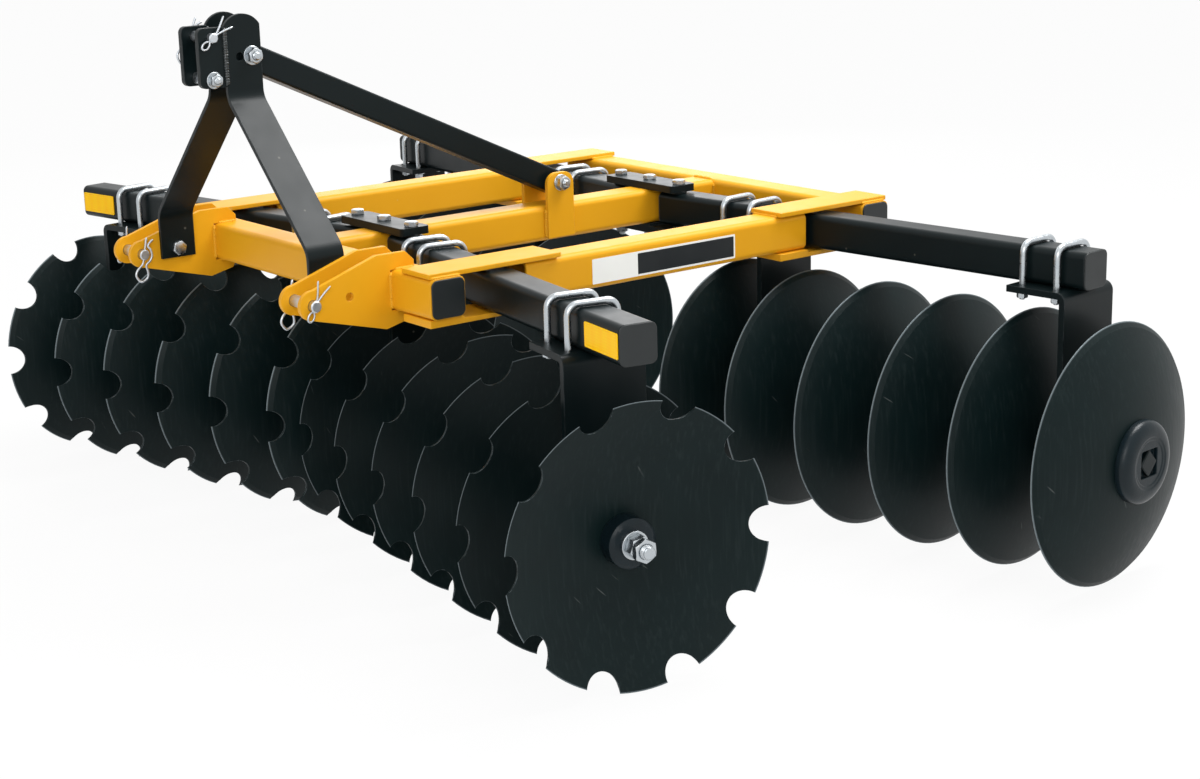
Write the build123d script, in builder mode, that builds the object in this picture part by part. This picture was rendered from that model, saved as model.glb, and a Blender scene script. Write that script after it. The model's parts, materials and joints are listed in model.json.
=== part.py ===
"""Three-point-hitch disc harrow: a welded box frame, a mast with brace, and four angled disc gangs.

Millimetres. +Z is up, the hitch is at -Y and +X is the machine's left side. The ground is z = 0, and
the origin lies on it, midway across and midway between the foremost and rearmost discs.
Along a gang, s runs outwards from the bolt that its beam pivots on, and v runs to the rear of the
beam's centre line.
Along a gang's axle, w runs the way that its dished discs open: outwards in front, inwards behind.
"""
import os
from math import asin, cos, radians, sin, sqrt
from build123d import *

os.makedirs("parts", exist_ok=True)

# ---------------------------------------------------------------- driving dimensions
# discs
disc_radius = 254.0             # 20 inch blades
disc_thickness = 4.0
disc_concavity = 62.0           # rim plane to the flat centre
disc_flat_radius = 45.0         # the flat that the spools clamp
disc_spacing = 188.0
discs_per_gang = 6
edge_bevel = 10.0               # width of the sharpened band on the back of the rim
edge_land = 0.8
notch_count = 10
notch_radius = 33.0

# box frame of square tube
frame_tube = 76.2
tube_wall = 6.35
disc_headroom = 55.2            # beams' undersides above the discs
frame_length = 1164.6           # outside to outside of the crossbars
crossbar_length = 1022.0
side_tube_inset = 11.5          # side tube's outer face inside the crossbar's end
front_slot = 147.4              # front crossbar to the side tubes, where the front beams swing
rear_slot = 149.8               # side tubes to the rear crossbar, where the rear beams swing
plate_thickness = 9.5
corner_plate_width = 90.0
corner_plate_lap = 77.0         # corner plate along the side tube
corner_plate_setback = 1.0      # corner plate's end inside the crossbar's outer face

# gang beams and their pivots
beam_slimness = 4.8             # the beams' square is smaller than the frame's by this
beam_play = 5.0                 # between the beams and the plates above and below them
pivot_x = 101.6
pivot_plate_margin = 16.0       # plate past the outer bolts
pivot_plate_width = 68.0
pivot_plate_thickness = 15.9
pivot_pad_radius = 17.0
pivot_bolt_radius = 7.95
front_pivot_setback = 229.6     # front crossbar's outer face to the front pivot bolts
rear_pivot_setback = 232.3      # rear crossbar's outer face to the rear pivot bolts
beam_inner_overhang = 42.0      # beam end past the pivot bolt, towards the middle
axle_lead = 14.0                # axle ahead of the beam's centre line

# hangers, U-bolts and bearings
hanger_thickness = 12.7
hanger_front_edge = 76.0        # hanger's edge ahead of the beam's centre line
hanger_rear_edge = 83.0
hanger_bend_radius = 6.0        # inside of the bend
hanger_foot_radius = 62.0
hanger_margin = 17.5            # plate past the far U-bolt
u_bolt_rod = 12.7
u_bolt_spread = 6.3             # its legs stand this far off the beam's sides
u_bolt_bend = 20.0              # centre line radius of its corners
u_bolt_tail = 3.0               # thread past the nut
u_bolt_nut = 19.0               # across flats
u_bolt_nut_height = 14.0
hanger_shoulder = 190.0         # where the leg starts to narrow, above the axle
bearing_radius = 45.0
bearing_length = 48.0
bearing_flange_radius = 55.0
bearing_flange_thickness = 12.0

# axles and what they clamp
axle_square = 28.6
axle_head = 40.0
axle_thread_radius = 12.7
axle_tail = 92.0                # thread's end past the last disc
spool_neck_radius = 32.0
spool_flange_length = 10.0
spool_taper = 6.0               # cone from the flange down to the neck
journal_radius = 27.0
bell_radius = 80.0
bell_face_radius = 55.0
bell_thickness = 22.0
bell_edge = 5.0
cast_washer_thickness = 37.0
zinc_washer_radius = 25.5
zinc_washer_thickness = 6.0
axle_nut = 38.1                 # across flats
axle_nut_height = 22.0
jam_nut_height = 14.0

# lower hitch
lower_pin_spread = 683.0        # centre to centre of the two clevises
hitch_gap = 58.0
hitch_pin_radius = 11.0
hitch_pin_ahead = 166.4         # pin ahead of the front crossbar
hitch_pin_drop = 3.5            # pin below the tubes' centre lines
hitch_tip_radius = 28.0
hitch_ear_depth = 52.6          # how far the plates reach over and under the crossbar
hitch_plate_rise = 31.4         # above the crossbar
hitch_plate_drop = 33.4         # below it
mast_bolt_ahead = 89.4          # mast bolt ahead of the front crossbar
mast_bolt_rise = 1.5            # mast bolt above the tubes' centre lines
mast_bolt_radius = 8.0

# mast, top link clevis and brace, with heights from the lower hitch pins
mast_bar_width = 76.2
mast_bar_thickness = 8.0
mast_bar_ahead = 50.5           # bar's rear edge ahead of the front crossbar
mast_gap = 62.8                 # between the two bars at the top
mast_height = 500.0
mast_upper_bend = 341.0
mast_lower_bend = 80.0
mast_foot = -15.0
mast_bend_radius = 40.0
mast_top_radius = 45.0          # the bar's rounded top
clevis_thickness = 12.7
clevis_reach = 55.6             # ahead of the bars
clevis_bottom = 365.0
clevis_height = 113.0
clevis_corner = 12.0
top_pin_radius = 9.5
top_pin_ahead = 28.0            # ahead of the bars
top_pin_below_top = 19.0        # below the clevis plates' top edge
clevis_bolt_radius = 6.5
clevis_bolt_above_foot = 15.0
brace_bolt_height = 420.0
brace_bolt_back = 56.0          # behind the bars' front edge
spare_hole_back = 30.0
brace_bolt_radius = 8.0
brace_size = 50.8               # square tube
brace_wall = 4.8
brace_end = 34.0                # brace past each bolt
lug_y = 65.0                    # lug's centre, behind the middle of the frame by this much
lug_width = 70.0
lug_rise = 70.4                 # above the centre tube
lug_foot = 6.4                  # above the centre tube's underside
lug_corner = 25.0
lug_bolt_depth = 22.0           # bolt below the lug's top

# clearances
seat_gap = 0.3                  # between a bent or round piece and what it sits on
bolt_clearance = 0.4            # round a bolt, radial
running_clearance = 0.08        # round a pivot or journal, radial
axle_clearance = 0.4            # round the square axle
side_play = 2.0                 # between a bearing and the spools beside it

# gangs: sweep from square in degrees, inner disc's rim from the pivot, outer rim to the beam's end,
# pivot bolt ahead of the beam's centre line, and the way that the discs open (1 outwards)
GANGS = {
    #         sweep  inner_rim  beam_short  bolt_lead  opens  notched
    "front": (9.93, 12.4, 22.0, 0.0, 1, True),
    "rear": (5.6, 177.4, 56.0, 16.0, -1, False),
}
# hangers: the disc that the leg is placed from, counted along the axle, the leg's centre past that
# disc's rim, the leg's centre to the first U-bolt, and the way that the foot plate runs (1 outwards)
HANGERS = {
    #          disc  past_rim  first_bolt  runs
    "front": ((4, 36.0, 27.0, -1), (0, 36.0, 24.0, 1)),
    "rear": ((1, -113.0, 31.0, -1), (5, -113.0, 51.0, -1)),
}
u_bolt_pitch = 76.0             # between the two U-bolts of a hanger
SIDES = {"left": 1, "right": -1}

# ---------------------------------------------------------------- derived places
tube_half = frame_tube / 2
beam_tube = frame_tube - beam_slimness
beam_half = beam_tube / 2
beam_bottom_z = 2 * disc_radius + disc_headroom
beam_mid_z = beam_bottom_z + beam_half
beam_top_z = beam_bottom_z + beam_tube
frame_top_z = beam_top_z + beam_play
frame_mid_z = frame_top_z - tube_half
frame_bottom_z = frame_top_z - frame_tube
low_plate_z = beam_bottom_z - beam_play          # top of the plates that pass under the beams
packing = frame_bottom_z - low_plate_z           # under the frame's tubes, down to those plates
hitch_pin_z = frame_mid_z - hitch_pin_drop
mast_bolt_z = frame_mid_z + mast_bolt_rise
brace_bolt_z = hitch_pin_z + brace_bolt_height
lug_top_z = frame_top_z + lug_rise
lug_bolt_z = lug_top_z - lug_bolt_depth

side_tube_x = crossbar_length / 2 - side_tube_inset - tube_half
side_tube_length = frame_length - 2 * frame_tube - front_slot - rear_slot
gang_length = disc_spacing * (discs_per_gang - 1)        # first rim to last rim

# the frame slides along Y until the origin is midway between the foremost and rearmost disc edges
front_sweep, rear_sweep = radians(GANGS["front"][0]), radians(GANGS["rear"][0])
front_lead, rear_lead = [axle_lead - gang[3] for gang in GANGS.values()]
front_rim_y = (-frame_length / 2 + front_pivot_setback
               - (GANGS["front"][1] + gang_length) * sin(front_sweep) - front_lead * cos(front_sweep))
rear_rim_y = (frame_length / 2 - rear_pivot_setback
              + (GANGS["rear"][1] + gang_length) * sin(rear_sweep) - rear_lead * cos(rear_sweep))
notched_reach = disc_radius * cos(2 * asin(notch_radius / 2 / disc_radius))
foremost = front_rim_y - notched_reach * cos(front_sweep)
rearmost = rear_rim_y + disc_radius * cos(rear_sweep)
frame_y = -(foremost + rearmost) / 2

front_face = frame_y - frame_length / 2          # outer face of the front crossbar
rear_face = frame_y + frame_length / 2
PIVOT_Y = {"front": front_face + front_pivot_setback, "rear": rear_face - rear_pivot_setback}
mast_front = front_face - mast_bar_ahead - mast_bar_width
mast_rear = front_face - mast_bar_ahead

# the sphere that each blade is pressed to
sphere_sum = (disc_radius**2 - disc_flat_radius**2) / disc_concavity
sphere_radius = sqrt(((sphere_sum + disc_concavity) / 2)**2 + disc_flat_radius**2)
sphere_centre = sqrt(sphere_radius**2 - disc_radius**2)


def save(name, part):
    """Label a finished piece and write it as its own file."""
    part.label = name
    export_step(part, f"parts/{name}.step")


def tube_section(size):
    """Draw the section of a hollow square tube in the open sketch."""
    RectangleRounded(size, size, 2 * tube_wall)
    RectangleRounded(size - 2 * tube_wall, size - 2 * tube_wall, tube_wall, mode=Mode.SUBTRACT)


# ---------------------------------------------------------------- box frame
for name, y in (("front_crossbar", front_face + tube_half), ("rear_crossbar", rear_face - tube_half)):
    with BuildPart() as crossbar:
        with BuildSketch(Plane.YZ.offset(-crossbar_length / 2)):
            with Locations((y, frame_mid_z)):
                tube_section(frame_tube)
        extrude(amount=crossbar_length)
    save(name, crossbar.part)

side_tube_start = front_face + frame_tube + front_slot
for side, sign in SIDES.items():
    with BuildPart() as side_tube:
        with BuildSketch(Plane.XZ.offset(-side_tube_start - side_tube_length)):
            with Locations((sign * side_tube_x, frame_mid_z)):
                tube_section(frame_tube)
        extrude(amount=side_tube_length)
    save(f"{side}_side_tube", side_tube.part)

with BuildPart() as centre_tube:
    with BuildSketch(Plane.XZ.offset(-(rear_face - frame_tube))):
        with Locations((0, frame_mid_z)):
            tube_section(frame_tube)
    extrude(amount=frame_length - 2 * frame_tube)
    with Locations(*[(0, y, frame_mid_z) for y in PIVOT_Y.values()]):
        Cylinder(pivot_bolt_radius + bolt_clearance, frame_tube, mode=Mode.SUBTRACT)
save("centre_tube", centre_tube.part)

plug_flange = 3.0
plug_depth = 22.0
plug_inset = 2.0                # flange's edge inside the tube's outline
with BuildPart() as end_plugs:
    for y in (front_face + tube_half, rear_face - tube_half):
        for sign in SIDES.values():
            with BuildSketch(Plane.YZ.offset(sign * crossbar_length / 2)):
                with Locations((y, frame_mid_z)):
                    RectangleRounded(frame_tube - 2 * plug_inset, frame_tube - 2 * plug_inset, 2 * tube_wall)
            extrude(amount=sign * plug_flange)
            with BuildSketch(Plane.YZ.offset(sign * crossbar_length / 2)):
                with Locations((y, frame_mid_z)):
                    plug = frame_tube - 2 * tube_wall - 2 * seat_gap
                    RectangleRounded(plug, plug, tube_wall)
            extrude(amount=-sign * plug_depth)
save("crossbar_end_plugs", end_plugs.part)

# corner plates bridge the slots that the gang beams swing in, over and under
crossbar_lap = frame_tube - corner_plate_setback
side_tube_end = side_tube_start + side_tube_length
CORNER_PLATES = {
    #         foremost edge                        over or under the first tube, slot, last tube
    "front": (front_face + corner_plate_setback, crossbar_lap, front_slot, corner_plate_lap),
    "rear": (side_tube_end - corner_plate_lap, corner_plate_lap, rear_slot, crossbar_lap),
}
for end, (start_y, first_lap, slot, last_lap) in CORNER_PLATES.items():
    length = first_lap + slot + last_lap
    with BuildPart() as corner_plates:
        for z in (frame_top_z, low_plate_z - plate_thickness):
            with BuildSketch(Plane.XY.offset(z)):
                with Locations(*[(sign * side_tube_x, start_y + length / 2) for sign in SIDES.values()]):
                    Rectangle(corner_plate_width, length)
            extrude(amount=plate_thickness)
        # packing under the crossbar and under the side tube
        for near_y, width in ((start_y, first_lap), (start_y + length - last_lap, last_lap)):
            with BuildSketch(Plane.XY.offset(low_plate_z)):
                with Locations(*[(sign * side_tube_x, near_y + width / 2) for sign in SIDES.values()]):
                    Rectangle(corner_plate_width, width)
            extrude(amount=packing)
    save(f"{end}_corner_plates", corner_plates.part)

# pivot plates sandwich the centre tube and both beams, with a wear pad round each pivot bolt
for end, y in PIVOT_Y.items():
    with BuildPart() as pivot_plates:
        for face_z, up in ((frame_top_z, 1), (low_plate_z, -1)):
            with BuildSketch(Plane.XY.offset(face_z)):
                with Locations((0, y)):
                    RectangleRounded(2 * (pivot_x + pivot_plate_margin), pivot_plate_width, 8)
            extrude(amount=up * pivot_plate_thickness)
            with BuildSketch(Plane.XY.offset(face_z)):
                with Locations(*[(sign * pivot_x, y) for sign in SIDES.values()]):
                    Circle(pivot_pad_radius)
            extrude(amount=-up * (beam_play - seat_gap))
        with BuildSketch(Plane.XY.offset(low_plate_z)):
            with Locations((0, y)):
                Rectangle(frame_tube, pivot_plate_width)
        extrude(amount=packing)
        with Locations(*[(x, y, frame_mid_z) for x in (-pivot_x, 0, pivot_x)]):
            Cylinder(pivot_bolt_radius + bolt_clearance, 3 * frame_tube, mode=Mode.SUBTRACT)
    save(f"{end}_pivot_plates", pivot_plates.part)

bolt_head_flats = 23.8
bolt_head_height = 10.0
bolt_tail = 6.0
with BuildPart() as pivot_bolts:
    top_z = frame_top_z + pivot_plate_thickness
    bottom_z = low_plate_z - pivot_plate_thickness
    bolt_places = [(x, y) for y in PIVOT_Y.values() for x in (-pivot_x, 0, pivot_x)]
    nut_height = 13.0
    with BuildSketch(Plane.XY.offset(bottom_z - nut_height - bolt_tail)):
        with Locations(*bolt_places):
            Circle(pivot_bolt_radius)
    extrude(amount=top_z - bottom_z + nut_height + bolt_tail)
    for z, height in ((top_z, bolt_head_height), (bottom_z - nut_height, nut_height)):
        with BuildSketch(Plane.XY.offset(z)):
            with Locations(*bolt_places):
                RegularPolygon(bolt_head_flats / 2, 6, major_radius=False)
        extrude(amount=height)
save("pivot_bolts", pivot_bolts.part)

# ---------------------------------------------------------------- lower hitch brackets and pins
pin_y = front_face - hitch_pin_ahead
ear_y = front_face + hitch_ear_depth
plate_top_z = frame_top_z + hitch_plate_rise
plate_foot_z = frame_bottom_z - hitch_plate_drop
hitch_centre_x = lower_pin_spread / 2
inner_plate_x = hitch_centre_x - hitch_gap / 2 - plate_thickness
outer_plate_x = hitch_centre_x + hitch_gap / 2
mast_bolt_y = front_face - mast_bolt_ahead

for side, sign in SIDES.items():
    with BuildPart() as bracket:
        for plate_x in (inner_plate_x, outer_plate_x):
            near_x = plate_x if sign > 0 else -plate_x - plate_thickness
            with BuildSketch(Plane.YZ.offset(near_x)):
                with BuildLine():
                    Polyline(
                        (pin_y, hitch_pin_z + hitch_tip_radius),
                        (front_face - 30, plate_top_z),
                        (ear_y - 18, plate_top_z),
                        (ear_y, plate_top_z - 18),
                        (ear_y, frame_top_z),
                        (front_face, frame_top_z),
                        (front_face, frame_bottom_z),
                        (ear_y, frame_bottom_z),
                        (ear_y - 14, plate_foot_z + 12),
                        (front_face - 13, plate_foot_z),
                        (pin_y, hitch_pin_z - hitch_tip_radius),
                    )
                    ThreePointArc(
                        (pin_y, hitch_pin_z - hitch_tip_radius),
                        (pin_y - hitch_tip_radius, hitch_pin_z),
                        (pin_y, hitch_pin_z + hitch_tip_radius),
                    )
                make_face()
                with Locations((pin_y, hitch_pin_z)):
                    Circle(hitch_pin_radius + bolt_clearance, mode=Mode.SUBTRACT)
                with Locations((mast_bolt_y, mast_bolt_z)):
                    Circle(mast_bolt_radius, mode=Mode.SUBTRACT)
            extrude(amount=plate_thickness)
    save(f"{side}_hitch_bracket", bracket.part)

pin_end = 12.0                  # pin past each plate
pin_chamfer = 2.0
with BuildPart() as hitch_pins:
    for sign in SIDES.values():
        pin_length = hitch_gap + 2 * plate_thickness + 2 * pin_end
        with BuildSketch(Plane.YZ.offset(sign * hitch_centre_x - pin_length / 2)):
            with Locations((pin_y, hitch_pin_z)):
                Circle(hitch_pin_radius)
        extrude(amount=pin_length)
    chamfer(hitch_pins.edges().filter_by(GeomType.CIRCLE), pin_chamfer)
save("lower_hitch_pins", hitch_pins.part)

# ---------------------------------------------------------------- mast, top link clevis and brace
bar_top_x = mast_gap / 2 + mast_bar_thickness / 2
bar_foot_x = inner_plate_x - mast_bar_thickness / 2
mast_mid_y = (mast_front + mast_rear) / 2
mast_top_z = hitch_pin_z + mast_height
brace_front_y = mast_front + brace_bolt_back
spare_hole_y = mast_front + spare_hole_back
for side, sign in SIDES.items():
    with BuildPart() as mast_bar:
        with BuildSketch(Plane.XZ.offset(-mast_rear)):
            with BuildLine():
                FilletPolyline(
                    (sign * bar_top_x, mast_top_z),
                    (sign * bar_top_x, hitch_pin_z + mast_upper_bend),
                    (sign * bar_foot_x, hitch_pin_z + mast_lower_bend),
                    (sign * bar_foot_x, hitch_pin_z + mast_foot),
                    radius=mast_bend_radius,
                )
            trace(line_width=mast_bar_thickness)
        extrude(amount=mast_bar_width)
        with BuildSketch(Plane.YZ):
            with Locations((mast_mid_y, mast_top_z)):
                Rectangle(mast_bar_width + 1, 2 * mast_top_radius)
            with Locations((mast_mid_y, mast_top_z - mast_top_radius)):
                Circle(mast_top_radius, mode=Mode.SUBTRACT)
        extrude(amount=mast_gap, both=True, mode=Mode.SUBTRACT)
        with Locations(
            Location((sign * bar_top_x, brace_front_y, brace_bolt_z), (0, 90, 0)),
            Location((sign * bar_top_x, spare_hole_y, brace_bolt_z), (0, 90, 0)),
            Location((sign * bar_foot_x, mast_bolt_y, mast_bolt_z), (0, 90, 0)),
        ):
            Cylinder(brace_bolt_radius, 2 * mast_bar_thickness, mode=Mode.SUBTRACT)
    save(f"{side}_mast_bar", mast_bar.part)

clevis_front = mast_front - clevis_reach
clevis_bottom_z = hitch_pin_z + clevis_bottom
clevis_top_z = clevis_bottom_z + clevis_height
top_pin_y = mast_front - top_pin_ahead
top_pin_z = clevis_top_z - top_pin_below_top
clevis_outer_x = mast_gap / 2 + mast_bar_thickness
with BuildPart() as clevis:
    for near_x in (clevis_outer_x - clevis_thickness, -clevis_outer_x):
        with BuildSketch(Plane.YZ.offset(near_x)) as clevis_outline:
            with Locations((mast_front - clevis_reach / 2, clevis_bottom_z + clevis_height / 2)):
                Rectangle(clevis_reach, clevis_height)
            fillet(clevis_outline.vertices().group_by(Axis.X)[0], clevis_corner)
            with Locations((top_pin_y, top_pin_z)):
                Circle(top_pin_radius + bolt_clearance, mode=Mode.SUBTRACT)
            with Locations((top_pin_y, clevis_bottom_z + clevis_bolt_above_foot)):
                Circle(clevis_bolt_radius, mode=Mode.SUBTRACT)
        extrude(amount=clevis_thickness)
save("top_link_clevis", clevis.part)

with BuildPart() as top_link_pin:
    pin_length = 2 * (clevis_outer_x + pin_end)
    with BuildSketch(Plane.YZ.offset(-pin_length / 2)):
        with Locations((top_pin_y, top_pin_z)):
            Circle(top_pin_radius)
    extrude(amount=pin_length)
    chamfer(top_link_pin.edges().filter_by(GeomType.CIRCLE), pin_chamfer)
save("top_link_pin", top_link_pin.part)

# the brace is a square tube with a spacer bush welded through each end
lug_centre_y = frame_y + lug_y
brace_run = Vector(0, lug_centre_y - brace_front_y, lug_bolt_z - brace_bolt_z)
brace_direction = brace_run.normalized()
brace_start = Vector(0, brace_front_y, brace_bolt_z) - brace_direction * brace_end
bush_radius = 16.0
BUSHES = (
    # y, z, length
    (brace_front_y, brace_bolt_z, mast_gap - 2 * seat_gap),
    (lug_centre_y, lug_bolt_z, frame_tube - 2 * seat_gap),
)
with BuildPart() as brace:
    with BuildSketch(Plane(origin=brace_start, x_dir=(1, 0, 0), z_dir=brace_direction)):
        RectangleRounded(brace_size, brace_size, brace_wall)
        RectangleRounded(brace_size - 2 * brace_wall, brace_size - 2 * brace_wall, 1, mode=Mode.SUBTRACT)
    extrude(amount=brace_run.length + 2 * brace_end)
    for y, z, length in BUSHES:
        with Locations(Location((0, y, z), (0, 90, 0))):
            Cylinder(bush_radius, length)
            Cylinder(brace_bolt_radius, length, mode=Mode.SUBTRACT)
save("mast_brace", brace.part)

lug_foot_z = frame_bottom_z + lug_foot
with BuildPart() as lugs:
    for near_x in (tube_half, -tube_half - plate_thickness):
        with BuildSketch(Plane.YZ.offset(near_x)) as lug_outline:
            with Locations((lug_centre_y, (lug_foot_z + lug_top_z) / 2)):
                Rectangle(lug_width, lug_top_z - lug_foot_z)
            fillet(lug_outline.vertices().group_by(Axis.Y)[-1], lug_corner)
            with Locations((lug_centre_y, lug_bolt_z)):
                Circle(brace_bolt_radius, mode=Mode.SUBTRACT)
        extrude(amount=plate_thickness)
save("brace_lugs", lugs.part)

# ---------------------------------------------------------------- gangs
UP = Vector(0, 0, 1)


def gang_place(end, sign):
    """Pivot bolt, its place on the beam's centre line, and a beam's outward and rearward directions."""
    angle = radians(GANGS[end][0])
    forward = -1 if end == "front" else 1
    outward = Vector(sign * cos(angle), forward * sin(angle), 0)
    rearward = UP.cross(outward) * sign
    bolt = Vector(sign * pivot_x, PIVOT_Y[end], 0)
    return bolt, bolt + rearward * GANGS[end][3], outward, rearward


def upright_plane(origin, along):
    """A vertical sketch plane through origin: x runs along, y runs up."""
    return Plane(origin=origin, x_dir=along, z_dir=along.cross(UP))


def blade_face(radius, r):
    """Axial place of a spherical blade face, from the rim plane, at radius r."""
    return sphere_centre - sqrt(radius**2 - r**2)


back_radius = sphere_radius + disc_thickness
back_flat = blade_face(back_radius, disc_flat_radius)    # back of the clamped flat, from the rim
bevel_r = disc_radius - edge_bevel
mid_r = (disc_flat_radius + disc_radius) / 2

for end, (sweep_angle, inner_rim, beam_short, bolt_lead, opens, notched) in GANGS.items():
    # w of each disc's rim and of each hanger's leg along the axle
    first_rim = inner_rim if opens > 0 else -inner_rim - gang_length
    rims = [first_rim + disc_spacing * k for k in range(discs_per_gang)]
    leg_w = [rims[disc] + past_rim for disc, past_rim, _, _ in HANGERS[end]]
    # s of each leg, of its first U-bolt and of its second, and the way the foot runs
    FEET = [
        (opens * w, opens * w + runs * first_bolt, opens * w + runs * (first_bolt + u_bolt_pitch), runs)
        for w, (_, _, first_bolt, runs) in zip(leg_w, HANGERS[end])
    ]
    for side, sign in SIDES.items():
        gang = f"{side}_{end}"
        bolt, root, outward, rearward = gang_place(end, sign)
        beam_end = inner_rim + gang_length - beam_short

        # beam: square tube with a bore for the pivot bolt
        beam_start = root - outward * beam_inner_overhang + UP * beam_mid_z
        with BuildPart() as beam:
            with BuildSketch(Plane(origin=beam_start, x_dir=rearward, z_dir=outward)):
                tube_section(beam_tube)
            extrude(amount=beam_end + beam_inner_overhang)
            with Locations(bolt + UP * beam_mid_z):
                Cylinder(pivot_bolt_radius + running_clearance, frame_tube, mode=Mode.SUBTRACT)
        save(f"{gang}_beam", beam.part)

        with BuildPart() as beam_caps:
            for s, away in ((-beam_inner_overhang, -1), (beam_end, 1)):
                with BuildSketch(Plane(origin=root + outward * s + UP * beam_mid_z,
                                       x_dir=rearward, z_dir=outward)):
                    RectangleRounded(beam_tube, beam_tube, 2 * tube_wall)
                extrude(amount=away * plug_flange)
                with BuildSketch(Plane(origin=root + outward * s + UP * beam_mid_z,
                                       x_dir=rearward, z_dir=outward)):
                    plug = beam_tube - 2 * tube_wall - 2 * seat_gap
                    RectangleRounded(plug, plug, tube_wall)
                extrude(amount=-away * plug_depth)
        save(f"{gang}_beam_caps", beam_caps.part)

        # hangers: a flat plate bent down, bored for the bearing, with two U-bolts each
        half = hanger_thickness / 2
        hanger_mid_v = (hanger_rear_edge - hanger_front_edge) / 2
        hanger_width = hanger_front_edge + hanger_rear_edge
        rod_v = beam_half + u_bolt_spread + u_bolt_rod / 2
        with BuildPart() as hangers:
            for leg_s, near_bolt, far_bolt, runs in FEET:
                foot_s = far_bolt + runs * hanger_margin
                origin = root + rearward * (hanger_mid_v)
                with BuildSketch(upright_plane(origin, outward)):
                    with BuildLine():
                        FilletPolyline(
                            (foot_s, beam_bottom_z - half),
                            (leg_s, beam_bottom_z - half),
                            (leg_s, disc_radius - hanger_foot_radius),
                            radius=hanger_bend_radius + half,
                        )
                    trace(line_width=hanger_thickness)
                extrude(amount=hanger_width / 2, both=True)
                leg_plane = Plane(origin=root + outward * leg_s, x_dir=rearward, z_dir=rearward.cross(UP))
                shoulder_z = disc_radius + hanger_shoulder
                with BuildSketch(leg_plane):
                    for edge_v, foot_v in (
                        (-hanger_front_edge - 5, -axle_lead - hanger_foot_radius),
                        (hanger_rear_edge + 5, -axle_lead + hanger_foot_radius),
                    ):
                        with BuildLine():
                            Polyline(
                                (edge_v, shoulder_z), (foot_v, disc_radius),
                                (foot_v, 0), (edge_v, 0), close=True,
                            )
                        make_face()
                    with Locations((-axle_lead, disc_radius)):
                        Circle(bearing_radius + seat_gap)
                extrude(amount=hanger_thickness, both=True, mode=Mode.SUBTRACT)
                with BuildSketch(Plane.XY.offset(beam_bottom_z - hanger_thickness)):
                    for bolt_s in (near_bolt, far_bolt):
                        for v in (-rod_v, rod_v):
                            place = root + outward * bolt_s + rearward * v
                            with Locations((place.X, place.Y)):
                                Circle(u_bolt_rod / 2 + bolt_clearance)
                extrude(amount=hanger_thickness, mode=Mode.SUBTRACT)
        save(f"{gang}_hangers", hangers.part)

        with BuildPart() as u_bolts:
            crown_z = beam_top_z + seat_gap + u_bolt_rod / 2
            nut_top_z = beam_bottom_z - hanger_thickness
            tail_z = nut_top_z - u_bolt_nut_height - u_bolt_tail
            for _, near_bolt, far_bolt, _ in FEET:
                for bolt_s in (near_bolt, far_bolt):
                    middle = root + outward * bolt_s
                    front_foot = middle - rearward * rod_v
                    rear_foot = middle + rearward * rod_v
                    with BuildLine() as bend:
                        FilletPolyline(
                            front_foot + UP * tail_z, front_foot + UP * crown_z,
                            rear_foot + UP * crown_z, rear_foot + UP * tail_z,
                            radius=u_bolt_bend,
                        )
                    with BuildSketch(Plane(origin=front_foot + UP * tail_z, x_dir=outward, z_dir=UP)):
                        Circle(u_bolt_rod / 2)
                    sweep(path=bend.wire())
                    for foot in (front_foot, rear_foot):
                        with BuildSketch(Plane(origin=foot + UP * nut_top_z, x_dir=outward, z_dir=UP)):
                            RegularPolygon(u_bolt_nut / 2, 6, major_radius=False)
                        extrude(amount=-u_bolt_nut_height)
        save(f"{gang}_u_bolts", u_bolts.part)

        # everything on the axle is turned about one line, with w along the way the discs open
        axle_dir = outward * opens
        axle_origin = root - rearward * axle_lead + UP * disc_radius
        axle_axis = Axis(axle_origin, axle_dir)
        profile = upright_plane(axle_origin, axle_dir)

        def across(w):
            """Plane square to the axle at w, its x axis up."""
            return Plane(origin=axle_origin + axle_dir * w, x_dir=UP, z_dir=axle_dir)

        with BuildPart() as bearings:
            for w in leg_w:
                with BuildSketch(across(w - bearing_length / 2)):
                    Circle(bearing_radius)
                extrude(amount=bearing_length)
                with BuildSketch(across(w + half)):
                    Circle(bearing_flange_radius)
                extrude(amount=bearing_flange_thickness)
                with BuildSketch(across(w - bearing_length / 2)):
                    Circle(journal_radius + running_clearance)
                extrude(amount=bearing_length, mode=Mode.SUBTRACT)
        save(f"{gang}_bearings", bearings.part)

        with BuildPart() as discs:
            for rim in rims:
                with BuildSketch(profile):
                    with BuildLine():
                        ThreePointArc(
                            (rim - disc_concavity, disc_flat_radius),
                            (rim + blade_face(sphere_radius, mid_r), mid_r),
                            (rim, disc_radius),
                        )
                        Line((rim, disc_radius), (rim - edge_land, disc_radius))
                        Line((rim - edge_land, disc_radius),
                             (rim + blade_face(back_radius, bevel_r), bevel_r))
                        ThreePointArc(
                            (rim + blade_face(back_radius, bevel_r), bevel_r),
                            (rim + blade_face(back_radius, mid_r), mid_r),
                            (rim + blade_face(back_radius, disc_flat_radius), disc_flat_radius),
                        )
                        Polyline(
                            (rim + blade_face(back_radius, disc_flat_radius), disc_flat_radius),
                            (rim + back_flat, disc_flat_radius - 1),
                            (rim + back_flat, 0),
                            (rim - disc_concavity, 0),
                            (rim - disc_concavity, disc_flat_radius),
                        )
                    make_face()
                revolve(axis=axle_axis)
                with BuildSketch(across(rim - disc_concavity - 2 * disc_thickness)):
                    Rectangle(axle_square + 2 * axle_clearance, axle_square + 2 * axle_clearance, rotation=45)
                    if notched:
                        with PolarLocations(disc_radius, notch_count, start_angle=360 / notch_count / 2):
                            Circle(notch_radius)
                extrude(amount=disc_concavity + 3 * disc_thickness, mode=Mode.SUBTRACT)
        save(f"{gang}_discs", discs.part)

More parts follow.
